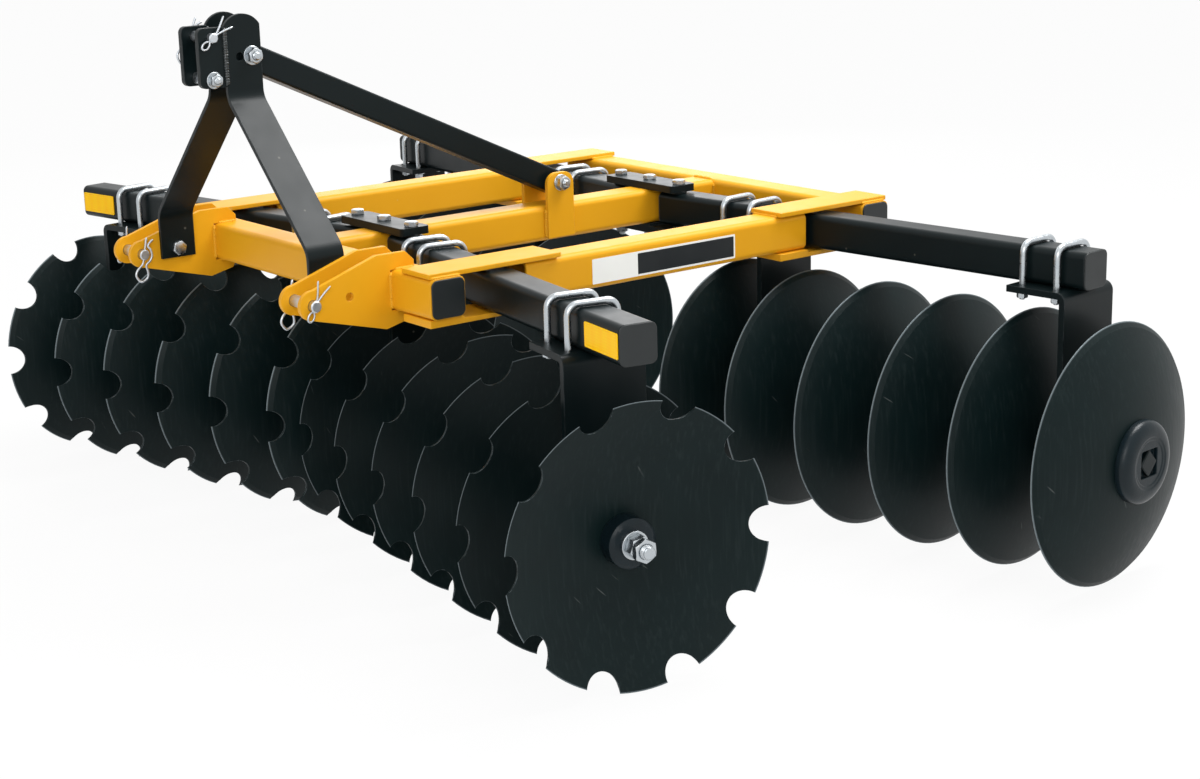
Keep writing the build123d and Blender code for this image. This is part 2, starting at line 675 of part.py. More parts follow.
        # spools between the discs, the end bell and the cast washer
        bore = axle_square / sqrt(2) + axle_clearance
        with BuildPart() as spools:
            for low, high in zip(rims[:-1], rims[1:]):
                start, stop = low - disc_concavity, high + back_flat
                neck_start = start + spool_flange_length + spool_taper
                neck_stop = stop - spool_flange_length - spool_taper
                steps = [(start, disc_flat_radius), (start + spool_flange_length, disc_flat_radius),
                         (neck_start, spool_neck_radius)]
                for w in leg_w:
                    if start < w < stop:
                        ends = w - bearing_length / 2 - side_play, w + bearing_length / 2 + side_play
                        steps += [(ends[0], spool_neck_radius), (ends[0], journal_radius),
                                  (ends[1], journal_radius), (ends[1], spool_neck_radius)]
                steps += [(neck_stop, spool_neck_radius),
                          (stop - spool_flange_length, disc_flat_radius), (stop, disc_flat_radius)]
                with BuildSketch(profile):
                    with BuildLine():
                        Polyline(*steps, (stop, bore), (start, bore), close=True)
                    make_face()
                revolve(axis=axle_axis)
            bell_w = rims[0] + back_flat
            last_w = rims[-1] - disc_concavity
            skirt_r = (disc_flat_radius + bell_radius) / 2
            skirt_mid = rims[0] + blade_face(back_radius, skirt_r) - seat_gap
            skirt_end = rims[0] + blade_face(back_radius, bell_radius) - seat_gap
            with BuildSketch(profile):
                with BuildLine():
                    Polyline((bell_w - bell_thickness, bore), (bell_w, bore), (bell_w, disc_flat_radius))
                    ThreePointArc(
                        (bell_w, disc_flat_radius), (skirt_mid, skirt_r), (skirt_end, bell_radius),
                    )
                    Line((skirt_end, bell_radius), (bell_w - bell_edge, bell_radius))
                    ThreePointArc(
                        (bell_w - bell_edge, bell_radius),
                        (bell_w - bell_thickness * 0.78, bell_radius * 0.85),
                        (bell_w - bell_thickness, bell_face_radius),
                    )
                    Line((bell_w - bell_thickness, bell_face_radius), (bell_w - bell_thickness, bore))
                make_face()
                with BuildLine():
                    Polyline(
                        (last_w, bore), (last_w, disc_flat_radius),
                        (last_w + cast_washer_thickness - 5, disc_flat_radius),
                        (last_w + cast_washer_thickness, disc_flat_radius - 8),
                        (last_w + cast_washer_thickness, bore), close=True,
                    )
                make_face()
            revolve(axis=axle_axis)
            with BuildSketch(across(bell_w - bell_thickness)):
                Rectangle(axle_head + 4, axle_head + 4, rotation=45)
            extrude(amount=bell_thickness / 2 + seat_gap, mode=Mode.SUBTRACT)
        save(f"{gang}_spools", spools.part)

        with BuildPart() as axle:
            head_w = bell_w - bell_thickness
            washer_w = last_w + cast_washer_thickness
            nut_w = washer_w + zinc_washer_thickness
            with BuildSketch(across(head_w)):
                Rectangle(axle_head, axle_head, rotation=45)
            extrude(amount=bell_thickness / 2)
            with BuildSketch(across(head_w)):
                Rectangle(axle_square, axle_square, rotation=45)
            extrude(amount=washer_w - head_w)
            with BuildSketch(across(washer_w)):
                Circle(zinc_washer_radius)
            extrude(amount=zinc_washer_thickness)
            with BuildSketch(across(nut_w)):
                RegularPolygon(axle_nut / 2, 6, major_radius=False)
            extrude(amount=axle_nut_height)
            with BuildSketch(across(nut_w + axle_nut_height + 1)):
                RegularPolygon(axle_nut / 2, 6, major_radius=False, rotation=20)
            extrude(amount=jam_nut_height)
            with BuildSketch(across(nut_w)):
                Circle(axle_thread_radius)
            extrude(amount=last_w + axle_tail - nut_w)
            chamfer(axle.edges().filter_by(GeomType.CIRCLE).sort_by(axle_axis)[-1], 2)
        save(f"{gang}_axle", axle.part)

print("frame centre y", round(frame_y, 2), "pivots", {k: round(v, 2) for k, v in PIVOT_Y.items()})
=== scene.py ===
# %% [markdown]
# # A three-point-hitch disc harrow
# A welded yellow frame carries a black mast and four gangs of black discs. The CAD model already holds
# every tube, plate, blade and casting at its true size, so this lesson never moves or reshapes one.
# It gives each of them a finish that tells what it is made of, and adds the small things that CAD
# left out: weld beads, washers, threads, wire clips, reflectors and a blank label.
#
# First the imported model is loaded. Each CAD solid arrives as a node with a name, riding on a body, and
# the box round all of them is kept, because nothing that is added may stand outside it.

# %% Load the fixed frame
import json
import random
from math import cos, pi, radians, sin, tan

import bmesh
import bpy
from mathutils import Matrix, Vector


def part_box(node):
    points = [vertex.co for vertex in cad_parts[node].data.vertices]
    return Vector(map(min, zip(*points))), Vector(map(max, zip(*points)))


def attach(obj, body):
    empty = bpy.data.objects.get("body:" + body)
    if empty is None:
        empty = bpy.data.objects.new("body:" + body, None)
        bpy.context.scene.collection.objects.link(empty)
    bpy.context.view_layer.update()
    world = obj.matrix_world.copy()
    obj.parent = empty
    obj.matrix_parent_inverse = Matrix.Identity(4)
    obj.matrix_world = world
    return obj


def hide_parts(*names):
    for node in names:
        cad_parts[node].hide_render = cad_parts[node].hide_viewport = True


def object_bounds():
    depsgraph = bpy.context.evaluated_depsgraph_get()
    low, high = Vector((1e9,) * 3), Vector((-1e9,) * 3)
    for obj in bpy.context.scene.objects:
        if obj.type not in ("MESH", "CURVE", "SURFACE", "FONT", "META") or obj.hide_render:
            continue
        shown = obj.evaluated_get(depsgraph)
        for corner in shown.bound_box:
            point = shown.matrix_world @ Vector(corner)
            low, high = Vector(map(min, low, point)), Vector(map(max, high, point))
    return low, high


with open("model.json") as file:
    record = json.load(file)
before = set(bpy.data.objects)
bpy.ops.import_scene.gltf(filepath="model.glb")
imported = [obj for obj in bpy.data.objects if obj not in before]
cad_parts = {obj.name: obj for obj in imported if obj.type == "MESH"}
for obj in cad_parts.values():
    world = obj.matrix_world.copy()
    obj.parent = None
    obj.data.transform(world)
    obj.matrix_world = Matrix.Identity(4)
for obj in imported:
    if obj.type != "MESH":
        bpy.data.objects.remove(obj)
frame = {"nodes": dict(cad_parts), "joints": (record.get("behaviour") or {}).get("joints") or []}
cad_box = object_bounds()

MM = 0.001
print("nodes", len(frame["nodes"]), "box", [[round(c, 3) for c in corner] for corner in cad_box])

# %% [markdown]
# ## Colour and nodes
# A paint chart gives colours as sRGB hex values, but shaders reckon in linear light, so one function
# turns the first into the second. A second function adds a node, sets it up and links it, whatever
# kind of node it is. A key that names one of the node's sockets sets that socket, any other key is
# a property of the node. A third puts an object in the scene.

# %% Three helpers
def linear(hex_colour):
    """sRGB hex value to the linear RGBA that sockets take."""
    channels = [int(hex_colour[i:i + 2], 16) / 255 for i in (1, 3, 5)]
    return tuple(c / 12.92 if c <= 0.04045 else ((c + 0.055) / 1.055) ** 2.4 for c in channels) + (1.0,)


def add(tree, kind, settings=None, links=None):
    """Add one node, with its properties, socket values and incoming links."""
    node = tree.nodes.new(kind)
    for key, value in (settings or {}).items():
        if isinstance(key, int) or key in node.inputs.keys():
            node.inputs[key].default_value = value
        else:
            setattr(node, key, value)
    for socket, source in (links or {}).items():
        tree.links.new(source, node.inputs[socket])
    return node


def place_in_scene(name, data):
    """A new object that shows in the scene."""
    made = bpy.data.objects.new(name, data)
    bpy.context.scene.collection.objects.link(made)
    return made


print("mid grey is", [round(c, 3) for c in linear("#808080")])

# %% [markdown]
# ## The camera
# The harrow is seen from ahead of its left front corner and a little above, by someone about four
# metres away, through a lens somewhat longer than normal. A camera made like this is turned in three
# steps: yaw round the vertical, pitch down to the ground, and a slight roll. The frame is cut a touch
# off the lens's axis, which the two shifts give.

# %% Camera
camera_data = bpy.data.cameras.new("portrait")
camera_data.sensor_width = 36.0
camera_data.lens = 63.564
camera_data.shift_x = 0.01384
camera_data.shift_y = -0.00100
camera_data.clip_end = 400.0
camera = place_in_scene("portrait", camera_data)
yaw, pitch, roll = radians(52.731), radians(14.791), radians(-1.633)
camera.matrix_world = (
    Matrix.Translation((3.64764, -2.59613, 1.41782))
    @ Matrix.Rotation(yaw, 4, "Z")
    @ Matrix.Rotation(radians(90) - pitch, 4, "X")
    @ Matrix.Rotation(roll, 4, "Z")
)
bpy.context.scene.camera = camera
bpy.context.scene.view_settings.view_transform = "Standard"
print("camera", [round(c, 3) for c in camera.matrix_world.translation])

# %% [markdown]
# ## The studio
# Farm machines are often shown against plain white. A real studio does that with a white sweep that
# is lit on its own; here the floor is a pale matt sheet, and what the lens, or a shiny surface, sees
# of it is mostly plain white with the rest left to the lamps, so the harrow's shadow stays on it and
# stays soft. The sky is a white dome. Three broad lamps stand round the machine: one overhead
# brightens the tops of the tubes, a weaker one on the camera's side opens the faces, and the weakest
# stands low on the far side, for the sheen along the tubes that lie across the machine.

# %% Floor
floor_mesh = bpy.data.meshes.new("studio_floor")
FLOOR_REACH = 150.0                  # metres, so far that its edge is lost in the white
WHITE_SHARE = 0.93                   # of what the lens sees of the floor; the rest is lamplight
floor_mesh.from_pydata(
    [(x * FLOOR_REACH, y * FLOOR_REACH, 0.0) for x, y in ((-1, -1), (1, -1), (1, 1), (-1, 1))],
    [], [(0, 1, 2, 3)],
)
floor = place_in_scene("studio_floor", floor_mesh)


def seen_directly(tree):
    """1 for a ray from the lens, off a shiny surface or through glass, else 0."""
    path = add(tree, "ShaderNodeLightPath")
    shiny = add(tree, "ShaderNodeMath", {"operation": "MAXIMUM"},
                {0: path.outputs["Is Camera Ray"], 1: path.outputs["Is Glossy Ray"]})
    return add(tree, "ShaderNodeMath", {"operation": "MAXIMUM"},
               {0: shiny.outputs[0], 1: path.outputs["Is Transmission Ray"]}).outputs[0]


sheet = bpy.data.materials.new("matt_studio_sheet")
sheet.use_nodes = True
tree = sheet.node_tree
matt = tree.nodes["Principled BSDF"]
matt.inputs["Base Color"].default_value = linear("#E6E6E6")
matt.inputs["Roughness"].default_value = 1.0
matt.inputs["Specular IOR Level"].default_value = 0.0
white = add(tree, "ShaderNodeEmission", {"Color": (1, 1, 1, 1), "Strength": 1.0})
share = add(tree, "ShaderNodeMath", {"operation": "MULTIPLY", 1: WHITE_SHARE}, {0: seen_directly(tree)})
mixed = add(tree, "ShaderNodeMixShader", None,
            {0: share.outputs[0], 1: matt.outputs[0], 2: white.outputs[0]})
tree.links.new(mixed.outputs[0], tree.nodes["Material Output"].inputs["Surface"])
floor.data.materials.append(sheet)
print("floor", 2 * FLOOR_REACH, "m across")

# %% Sky and lamps
world = bpy.data.worlds.new("white_dome")
world.use_nodes = True
bpy.context.scene.world = world
tree = world.node_tree
background = tree.nodes["Background"]
background.inputs["Color"].default_value = (1, 1, 1, 1)
SKY = 0.75                           # the dome as a lamp, against 1 where the lens sees it
strength = add(tree, "ShaderNodeMapRange", {"To Min": SKY, "To Max": 1.0}, {"Value": seen_directly(tree)})
tree.links.new(strength.outputs["Result"], background.inputs["Strength"])


def softbox(name, place, aim, size, watts):
    """A square lamp with a cloth front, pointed at a spot."""
    data = bpy.data.lights.new(name, "AREA")
    data.size = size
    data.energy = watts
    lamp = place_in_scene(name, data)
    lamp.location = place
    lamp.rotation_mode = "QUATERNION"
    lamp.rotation_quaternion = (Vector(aim) - Vector(place)).to_track_quat("-Z", "Y")


middle = (cad_box[0] + cad_box[1]) / 2
softbox("overhead", middle + Vector((0.9, 1.8, 3.6)), middle, 2.4, 215.0)
softbox("camera_side", middle + Vector((3.9, -3.1, 2.2)), middle, 2.6, 75.0)
softbox("far_side", middle + Vector((-4.2, 3.2, 1.3)), middle, 2.6, 40.0)

# %% [markdown]
# ## What every finish shares
# The CAD pieces sit at the origin with their place in their vertices, so Object coordinates are metres
# in the machine's own frame: a pattern 8 mm wide is a noise of scale 1 / 0.008. Corners are where
# paint runs thin and rubs off, and where highlights run. The Bevel node looks at the surface round each
# point; where its normal leaves the true one there is an edge near, and that difference, broken up by
# noise, is the edge mask: it lays on wear, and on the enamels and the plugs also a painted highlight.
# Every paint here is built the same way: two close colours drift into each other, other colours are
# laid over them through masks, and then the shader gets its colour, its roughness and its relief.

# %% The steps of a finish
def finish(name):
    """A new material with its tree, its shader and its Object coordinates."""
    material = bpy.data.materials.new(name)
    material.use_nodes = True
    tree = material.node_tree
    place = add(tree, "ShaderNodeTexCoord").outputs["Object"]
    print("finish", name)
    return material, tree, tree.nodes["Principled BSDF"], place


def near_edge(tree, place, reach, patch):
    """How near an edge each point is, for wear and on some finishes a painted highlight: 1 on an edge, 0
    a `reach` away from it, ragged in patches.
    """
    rounded = add(tree, "ShaderNodeBevel", {"samples": 4, "Radius": reach})
    true = add(tree, "ShaderNodeNewGeometry")
    agreement = add(tree, "ShaderNodeVectorMath", {"operation": "DOT_PRODUCT"},
                    {0: rounded.outputs["Normal"], 1: true.outputs["Normal"]})
    edge = add(tree, "ShaderNodeMapRange", {"From Min": 0.995, "From Max": 0.80},
               {"Value": agreement.outputs["Value"]})
    ragged = add(tree, "ShaderNodeTexNoise", {"Scale": 1 / patch, "Detail": 4.0}, {"Vector": place})
    edge_patches = add(tree, "ShaderNodeMapRange", {"From Min": 0.42, "From Max": 0.62},
                 {"Value": ragged.outputs["Fac"]})
    edge_mask = add(tree, "ShaderNodeMath", {"operation": "MULTIPLY"},
               {0: edge.outputs["Result"], 1: edge_patches.outputs["Result"]})
    return edge_mask.outputs[0], rounded.outputs["Normal"]


def drifting(tree, place, size, detail, colours):
    """Two colours that drift into each other in clouds of a size; gives the colour and the clouds."""
    clouds = add(tree, "ShaderNodeTexNoise", {"Scale": 1 / size, "Detail": detail}, {"Vector": place})
    coat = add(tree, "ShaderNodeMix",
               {"data_type": "RGBA", 6: linear(colours[0]), 7: linear(colours[1])},
               {0: clouds.outputs["Fac"]})
    return coat.outputs[2], clouds.outputs["Fac"]


def laid_over(tree, below, colour, mask, most=None):
    """A colour over another one where the mask lets it through, by a share at most."""
    if most is not None:
        mask = add(tree, "ShaderNodeMath", {"operation": "MULTIPLY", 1: most}, {0: mask}).outputs[0]
    return add(tree, "ShaderNodeMix", {"data_type": "RGBA", 7: linear(colour)},
               {0: mask, 6: below}).outputs[2]


def surface(tree, shader, colour, dullness, relief, rounded, constants):
    """Feed the shader, and set what is the same all over.

    Dullness is a noise with the roughness at its low and at its high end, and where those ends
    are; relief is a height with the bump's strength and its depth in mm.
    """
    noise, smooth, rough, *ends = dullness
    low, high = ends or (0.0, 1.0)
    height, strength, depth = relief
    dull = add(tree, "ShaderNodeMapRange",
               {"From Min": low, "From Max": high, "To Min": smooth, "To Max": rough}, {"Value": noise})
    bump = add(tree, "ShaderNodeBump", {"Strength": strength, "Distance": depth * MM},
               {"Height": height, "Normal": rounded})
    for socket, source in (("Base Color", colour), ("Roughness", dull.outputs["Result"]),
                           ("Normal", bump.outputs["Normal"])):
        tree.links.new(source, shader.inputs[socket])
    for socket, value in constants.items():
        shader.inputs[socket].default_value = value


# %% [markdown]
# ## Yellow enamel
# The frame is sprayed with tractor enamel, an alkyd gloss paint, after welding. It lies over mill
# scale and grinding marks, so the colour drifts a little from hand to hand of the sprayer, and the gloss
# has faint orange peel. Outside corners are painted lighter, partly where the film is thin and partly as
# a painted highlight along them. The eye reads gloss from the soft streak along each tube's rounded
# corners. Orange peel is about 2 mm across and too fine to show from here, so it is drawn at 7 mm.

# %% Enamel for frame and beams
def sprayed_enamel(name, colours, thin_edge_and_highlight, roughness, shine, gloss, specks):
    """Gloss paint on welded steel: drift, orange peel, pale specks of dust (on weld beads painted
    sparkle), and paler edges that are thin paint and partly painted highlight.
    """
    material, tree, shader, place = finish(name)
    coat, _ = drifting(tree, place, 160 * MM, 3.0, colours)
    edge_mask, rounded = near_edge(tree, place, 2.2 * MM, 20 * MM)
    # paler edges: paint worn thin at the corners, and partly a painted highlight along them
    edged = laid_over(tree, coat, thin_edge_and_highlight, edge_mask, 0.55)
    # pale specks: dust, and on the weld beads, where their share is high, painted sparkle
    dust_and_sparkle_cells = add(tree, "ShaderNodeTexVoronoi", {"Scale": 1 / (55 * MM)}, {"Vector": place})
    speck = add(tree, "ShaderNodeMapRange", {"From Min": 0.055, "From Max": 0.035, "To Max": specks},
                {"Value": dust_and_sparkle_cells.outputs["Distance"]})
    speckled = laid_over(tree, edged, "#C9C4B4", speck.outputs["Result"])
    smear = add(tree, "ShaderNodeTexNoise", {"Scale": 1 / (50 * MM), "Detail": 5.0}, {"Vector": place})
    peel = add(tree, "ShaderNodeTexNoise", {"Scale": 1 / (7 * MM), "Detail": 2.0}, {"Vector": place})
    surface(tree, shader, speckled, (smear.outputs["Fac"], roughness - 0.07, roughness + 0.09),
            (peel.outputs["Fac"], 0.10, 0.5), rounded,
            {"Specular IOR Level": shine, "Coat Weight": gloss, "Coat Roughness": 0.12})
    return material


# the pale edge colour is partly thin paint and partly a painted highlight
yellow_enamel = sprayed_enamel("yellow_tractor_enamel", ("#E4A51B", "#DB9A14"), "#F7CE62",
                               roughness=0.42, shine=0.22, gloss=0.0, specks=0.15)

# %% [markdown]
# ## Black enamel
# The mast, brace, hangers and gang beams are sprayed black from the same kind of gun. Black shows its
# gloss and not its colour: the same drift and peel, a cooler and duller coat, and grey along the edges,
# partly where one has been knocked in handling and partly a painted highlight.

# %% Black enamel
# the grey edge colour is partly knocked paint and partly a painted highlight
black_enamel = sprayed_enamel("black_chassis_enamel", ("#0C1718", "#081012"), "#5A6062",
                              roughness=0.34, shine=0.17, gloss=0.0, specks=0.12)

# %% [markdown]
# ## Blade paint
# Each blade is pressed from a sheared steel plate, its rim is ground to an edge, and it is dipped in
# thin black paint. The dip runs down while it dries and leaves upright streaks; the press leaves
# rings round the axle; the ground rim shows through the paint as a bright line. Rings need the
# distance from the axle, which vector maths gives from the joint's own place and direction, so
# they stay true on all four gangs. Press rings are under a millimetre deep and are drawn 9 mm apart.

# %% Blade paint, one for each axle
JOINTS = {joint["name"]: joint for joint in frame["joints"]}
GANGS = [name[:-len("_disc_spin")] for name in JOINTS if name.endswith("_disc_spin")]
BLADE_RADIUS = 254 * MM


def dipped_blade_paint(gang):
    """Dip paint on pressed blades that turn on this gang's axle."""
    joint = JOINTS[f"{gang}_disc_spin"]
    material, tree, shader, place = finish(f"{gang}_dipped_blade_paint")
    offset = add(tree, "ShaderNodeVectorMath", {"operation": "SUBTRACT", 1: joint["pos_m"]}, {0: place})
    along = add(tree, "ShaderNodeVectorMath", {"operation": "DOT_PRODUCT", 1: joint["axis"]},
                {0: offset.outputs["Vector"]})
    on_axle = add(tree, "ShaderNodeVectorMath", {"operation": "SCALE", 0: joint["axis"]},
                  {"Scale": along.outputs["Value"]})
    spoke = add(tree, "ShaderNodeVectorMath", {"operation": "SUBTRACT"},
                {0: offset.outputs["Vector"], 1: on_axle.outputs["Vector"]})
    radius = add(tree, "ShaderNodeVectorMath", {"operation": "LENGTH"}, {0: spoke.outputs["Vector"]})

    coat, clouds = drifting(tree, place, 110 * MM, 4.0, ("#0B1B1C", "#071314"))
    runs_at = add(tree, "ShaderNodeVectorMath",
                  {"operation": "MULTIPLY", 1: [1 / (size * MM) for size in (6, 6, 160)]}, {0: place})
    runs = add(tree, "ShaderNodeTexNoise", {"Scale": 1.0, "Detail": 2.0},
               {"Vector": runs_at.outputs["Vector"]})
    streak = add(tree, "ShaderNodeMapRange", {"From Min": 0.52, "From Max": 0.78, "To Max": 0.22},
                 {"Value": runs.outputs["Fac"]})
    streaked = laid_over(tree, coat, "#2C3636", streak.outputs["Result"])
    # scuffs: pale slanting scratches about 1 by 20 mm, which come only here and there
    tipped = add(tree, "ShaderNodeVectorRotate", {"Axis": (1, 1, 0), "Angle": 1.1}, {"Vector": place})
    scuff_at = add(tree, "ShaderNodeVectorMath",
                   {"operation": "MULTIPLY", 1: [1 / (size * MM) for size in (200, 200, 12)]},
                   {0: tipped.outputs["Vector"]})
    scuffs = add(tree, "ShaderNodeTexVoronoi", {"Scale": 1.0}, {"Vector": scuff_at.outputs["Vector"]})
    scratch = add(tree, "ShaderNodeMapRange", {"From Min": 0.075, "From Max": 0.045},
                  {"Value": scuffs.outputs["Distance"]})
    where = add(tree, "ShaderNodeMapRange", {"From Min": 0.50, "From Max": 0.58, "To Max": 0.25},
                {"Value": clouds})
    scuff = add(tree, "ShaderNodeMath", {"operation": "MULTIPLY"},
                {0: scratch.outputs["Result"], 1: where.outputs["Result"]})
    scuffed = laid_over(tree, streaked, "#7C817F", scuff.outputs[0])
    # the ground rim: bare steel over the last millimetres, and on the notches' sharp edges
    edge_mask, rounded = near_edge(tree, place, 1.6 * MM, 12 * MM)
    rim = add(tree, "ShaderNodeMapRange",
              {"From Min": BLADE_RADIUS - 2.5 * MM, "From Max": BLADE_RADIUS - 0.5 * MM, "To Max": 0.50},
              {"Value": radius.outputs["Value"]})
    edge_patches = add(tree, "ShaderNodeMath", {"operation": "MULTIPLY", 1: 0.55}, {0: edge_mask})
    bare = add(tree, "ShaderNodeMath", {"operation": "MAXIMUM"},
               {0: edge_patches.outputs[0], 1: rim.outputs["Result"]})
    ground = laid_over(tree, scuffed, "#98A4A9", bare.outputs[0])
    metal = add(tree, "ShaderNodeMath", {"operation": "MULTIPLY", 1: 0.8}, {0: bare.outputs[0]})
    tree.links.new(metal.outputs[0], shader.inputs["Metallic"])
    rings_at = add(tree, "ShaderNodeMath", {"operation": "MULTIPLY", 1: 1 / (9 * MM)},
                   {0: radius.outputs["Value"]})
    rings = add(tree, "ShaderNodeTexNoise", {"noise_dimensions": "1D", "Scale": 1.0, "Detail": 2.0},
                {"W": rings_at.outputs[0]})
    peel = add(tree, "ShaderNodeTexNoise", {"Scale": 1 / (10 * MM), "Detail": 3.0}, {"Vector": place})
    height = add(tree, "ShaderNodeMath", {"operation": "ADD"},
                 {0: rings.outputs["Fac"], 1: peel.outputs["Fac"]})
    surface(tree, shader, ground, (runs.outputs["Fac"], 0.34, 0.54), (height.outputs[0], 0.10, 0.6),
            rounded, {"Specular IOR Level": 0.13})
    return material


blade_paints = {gang: dipped_blade_paint(gang) for gang in GANGS}
print("gangs", GANGS)

# %% [markdown]
# ## Painted castings
# Spools, bearing housings and end bells are sand-cast iron with a brushed coat of black. The skin is
# the sand's: grains of a millimetre or so, drawn at 3 mm, which break the gloss into a dull glow.

# %% Sand-cast iron
def painted_casting(name):
    """Black paint over sand-cast iron."""
    material, tree, shader, place = finish(name)
    coat, _ = drifting(tree, place, 50 * MM, 4.0, ("#0F1E24", "#091317"))
    edge_mask, rounded = near_edge(tree, place, 2.5 * MM, 15 * MM)
    edged = laid_over(tree, coat, "#4A5558", edge_mask, 0.35)
    sand = add(tree, "ShaderNodeTexNoise", {"Scale": 1 / (3 * MM), "Detail": 3.0}, {"Vector": place})
    lumps = add(tree, "ShaderNodeTexNoise", {"Scale": 1 / (14 * MM), "Detail": 1.0}, {"Vector": place})
    height = add(tree, "ShaderNodeMath", {"operation": "MULTIPLY_ADD", 1: 1.6},
                 {0: lumps.outputs["Fac"], 2: sand.outputs["Fac"]})
    surface(tree, shader, edged, (sand.outputs["Fac"], 0.25, 0.37), (height.outputs[0], 0.35, 0.5),
            rounded, {"Specular IOR Level": 0.24})
    return material


cast_iron = painted_casting("painted_sand_cast_iron")

# %% [markdown]
# ## Zinc plate
# Bolts, washers, U-bolts, pins and clips are steel dipped bright in an electroplating bath. Zinc is a
# pale metal with a soft shine, bluish in one place and faintly straw-coloured in the next where the
# passivation is thicker, and dull in the spots where it has been handled. Metals keep the default IOR.

# %% Electroplated zinc
def bright_zinc(name, colours, roughness):
    """Electroplated zinc on steel."""
    material, tree, shader, place = finish(name)
    film, _ = drifting(tree, place, 18 * MM, 4.0, colours)
    edge_mask, rounded = near_edge(tree, place, 0.9 * MM, 6 * MM)
    edged = laid_over(tree, film, "#EFEFEA", edge_mask, 0.6)
    spots = add(tree, "ShaderNodeTexNoise", {"Scale": 1 / (7 * MM), "Detail": 5.0}, {"Vector": place})
    surface(tree, shader, edged, (spots.outputs["Fac"], roughness - 0.08, roughness + 0.14, 0.3, 0.7),
            (spots.outputs["Fac"], 0.12, 0.2), rounded, {"Metallic": 1.0})
    return material


zinc_plate = bright_zinc("electroplated_zinc", ("#B4BCC4", "#C4C8C8"), 0.30)
# a paler, rougher zinc for pins and clips: the paler colour is painted light, lifting the pins where they
# sit in shade between plates
pin_zinc_painted_brighter = bright_zinc("plated_pin_zinc_painted_brighter", ("#C2C9D2", "#D2D5D6"), 0.38)

# %% [markdown]
# ## Moulded plastic
# The tube ends are closed with plugs of injection-moulded polyethylene. The mould was spark-eroded,
# which leaves an even fine grain; it is half a millimetre in truth and drawn at 2 mm. The plastic is
# not quite black, and its rounded edges, rubbed glossy by hands, are painted a lighter grey as a
# painted sheen.

# %% Polyethylene plugs
plug_plastic, tree, shader, place = finish("moulded_polyethylene")
shade, clouds = drifting(tree, place, 40 * MM, 3.0, ("#141B1C", "#0E1415"))
edge_mask, rounded = near_edge(tree, place, 3.0 * MM, 10 * MM)
# the lighter grey on the rounded edges is a painted sheen, where hands have rubbed the plastic glossy
edged = laid_over(tree, shade, "#3A3E40", edge_mask, 0.4)
grain = add(tree, "ShaderNodeTexVoronoi", {"Scale": 1 / (2 * MM)}, {"Vector": place})
surface(tree, shader, edged, (clouds, 0.42, 0.56), (grain.outputs["Distance"], 0.15, 0.2), rounded,
        {"IOR": 1.51})

# %% [markdown]
# ## Finishes go on the CAD nodes
# Each node's name tells what it is, so a short list of name endings picks the finish. A node stays
# where it is and keeps its mesh; only its material slot changes, and modifiers ease its edges.
# Flame-cut plate and sawn tube have corners broken with a grinder, about a millimetre. The CAD mesh is
# all triangles with doubled points along its edges, so points are merged and flat triangles joined
# into whole faces first; then a bevel has clean edges to work on.

# %% Dress the nodes
FINISH_BY_ENDING = (
    # ending of the name       finish          edge width in mm, 0 where the shape has its own
    ("_crossbar", yellow_enamel, 0.8),
    ("_side_tube", yellow_enamel, 0.8),
    ("centre_tube", yellow_enamel, 0.8),
    ("_corner_plates", yellow_enamel, 1.2),
    ("_hitch_bracket", yellow_enamel, 1.2),
    ("brace_lugs", yellow_enamel, 1.2),
    ("_pivot_plates", black_enamel, 1.2),
    ("_mast_bar", black_enamel, 1.0),
    ("top_link_clevis", black_enamel, 1.2),
    ("mast_brace", black_enamel, 0.8),
    ("_beam", black_enamel, 0.8),
    ("_hangers", black_enamel, 1.2),
    ("_bearings", cast_iron, 1.2),
    ("_spools", cast_iron, 1.5),
    ("_beam_caps", plug_plastic, 2.0),
    ("_end_plugs", plug_plastic, 2.0),
    ("lower_hitch_pins", pin_zinc_painted_brighter, 0.0),
    ("top_link_pin", pin_zinc_painted_brighter, 0.0),
    ("_discs", None, 0.0),
    ("_axle", zinc_plate, 0.8),
    ("_u_bolts", zinc_plate, 0.0),
    ("pivot_bolts", zinc_plate, 0.8),
)


def ease_edges(node, width):
    """Break a CAD node's sharp corners with modifiers, its own mesh untouched."""
    merged = node.modifiers.new("merge_doubled_points", "WELD")
    merged.merge_threshold = 0.01 * MM
    faces = node.modifiers.new("join_flat_triangles", "DECIMATE")
    faces.decimate_type = "DISSOLVE"
    faces.angle_limit = radians(0.2)
    broken = node.modifiers.new("broken_corners", "BEVEL")
    broken.width = width * MM
    broken.segments = 2
    broken.limit_method = "ANGLE"
    broken.angle_limit = radians(32)
    even = node.modifiers.new("even_shading", "WEIGHTED_NORMAL")
    even.keep_sharp = False


for name, node in frame["nodes"].items():
    material, width = next((m, w) for ending, m, w in FINISH_BY_ENDING if name.endswith(ending))
    material = material or blade_paints[name[:-len("_discs")]]
    node.data.materials.clear()
    node.data.materials.append(material)
    if width:
        ease_edges(node, width)
print("dressed", len(frame["nodes"]), "nodes")

# %% [markdown]
# ## Solids from rings
# Bolts, threads, bent rods, wire clips and weld beads have one thing in common: each is a stack of
# rings. A turned part has round rings one above the other, a nut has hexagonal ones, a rod's rings
# follow its path. So one function skins a stack of rings into a closed solid, another stands it
# where it belongs, a third lets a mesh ride on a body as a piece of its own, and a fourth joins the
# solids of a piece into such a mesh.

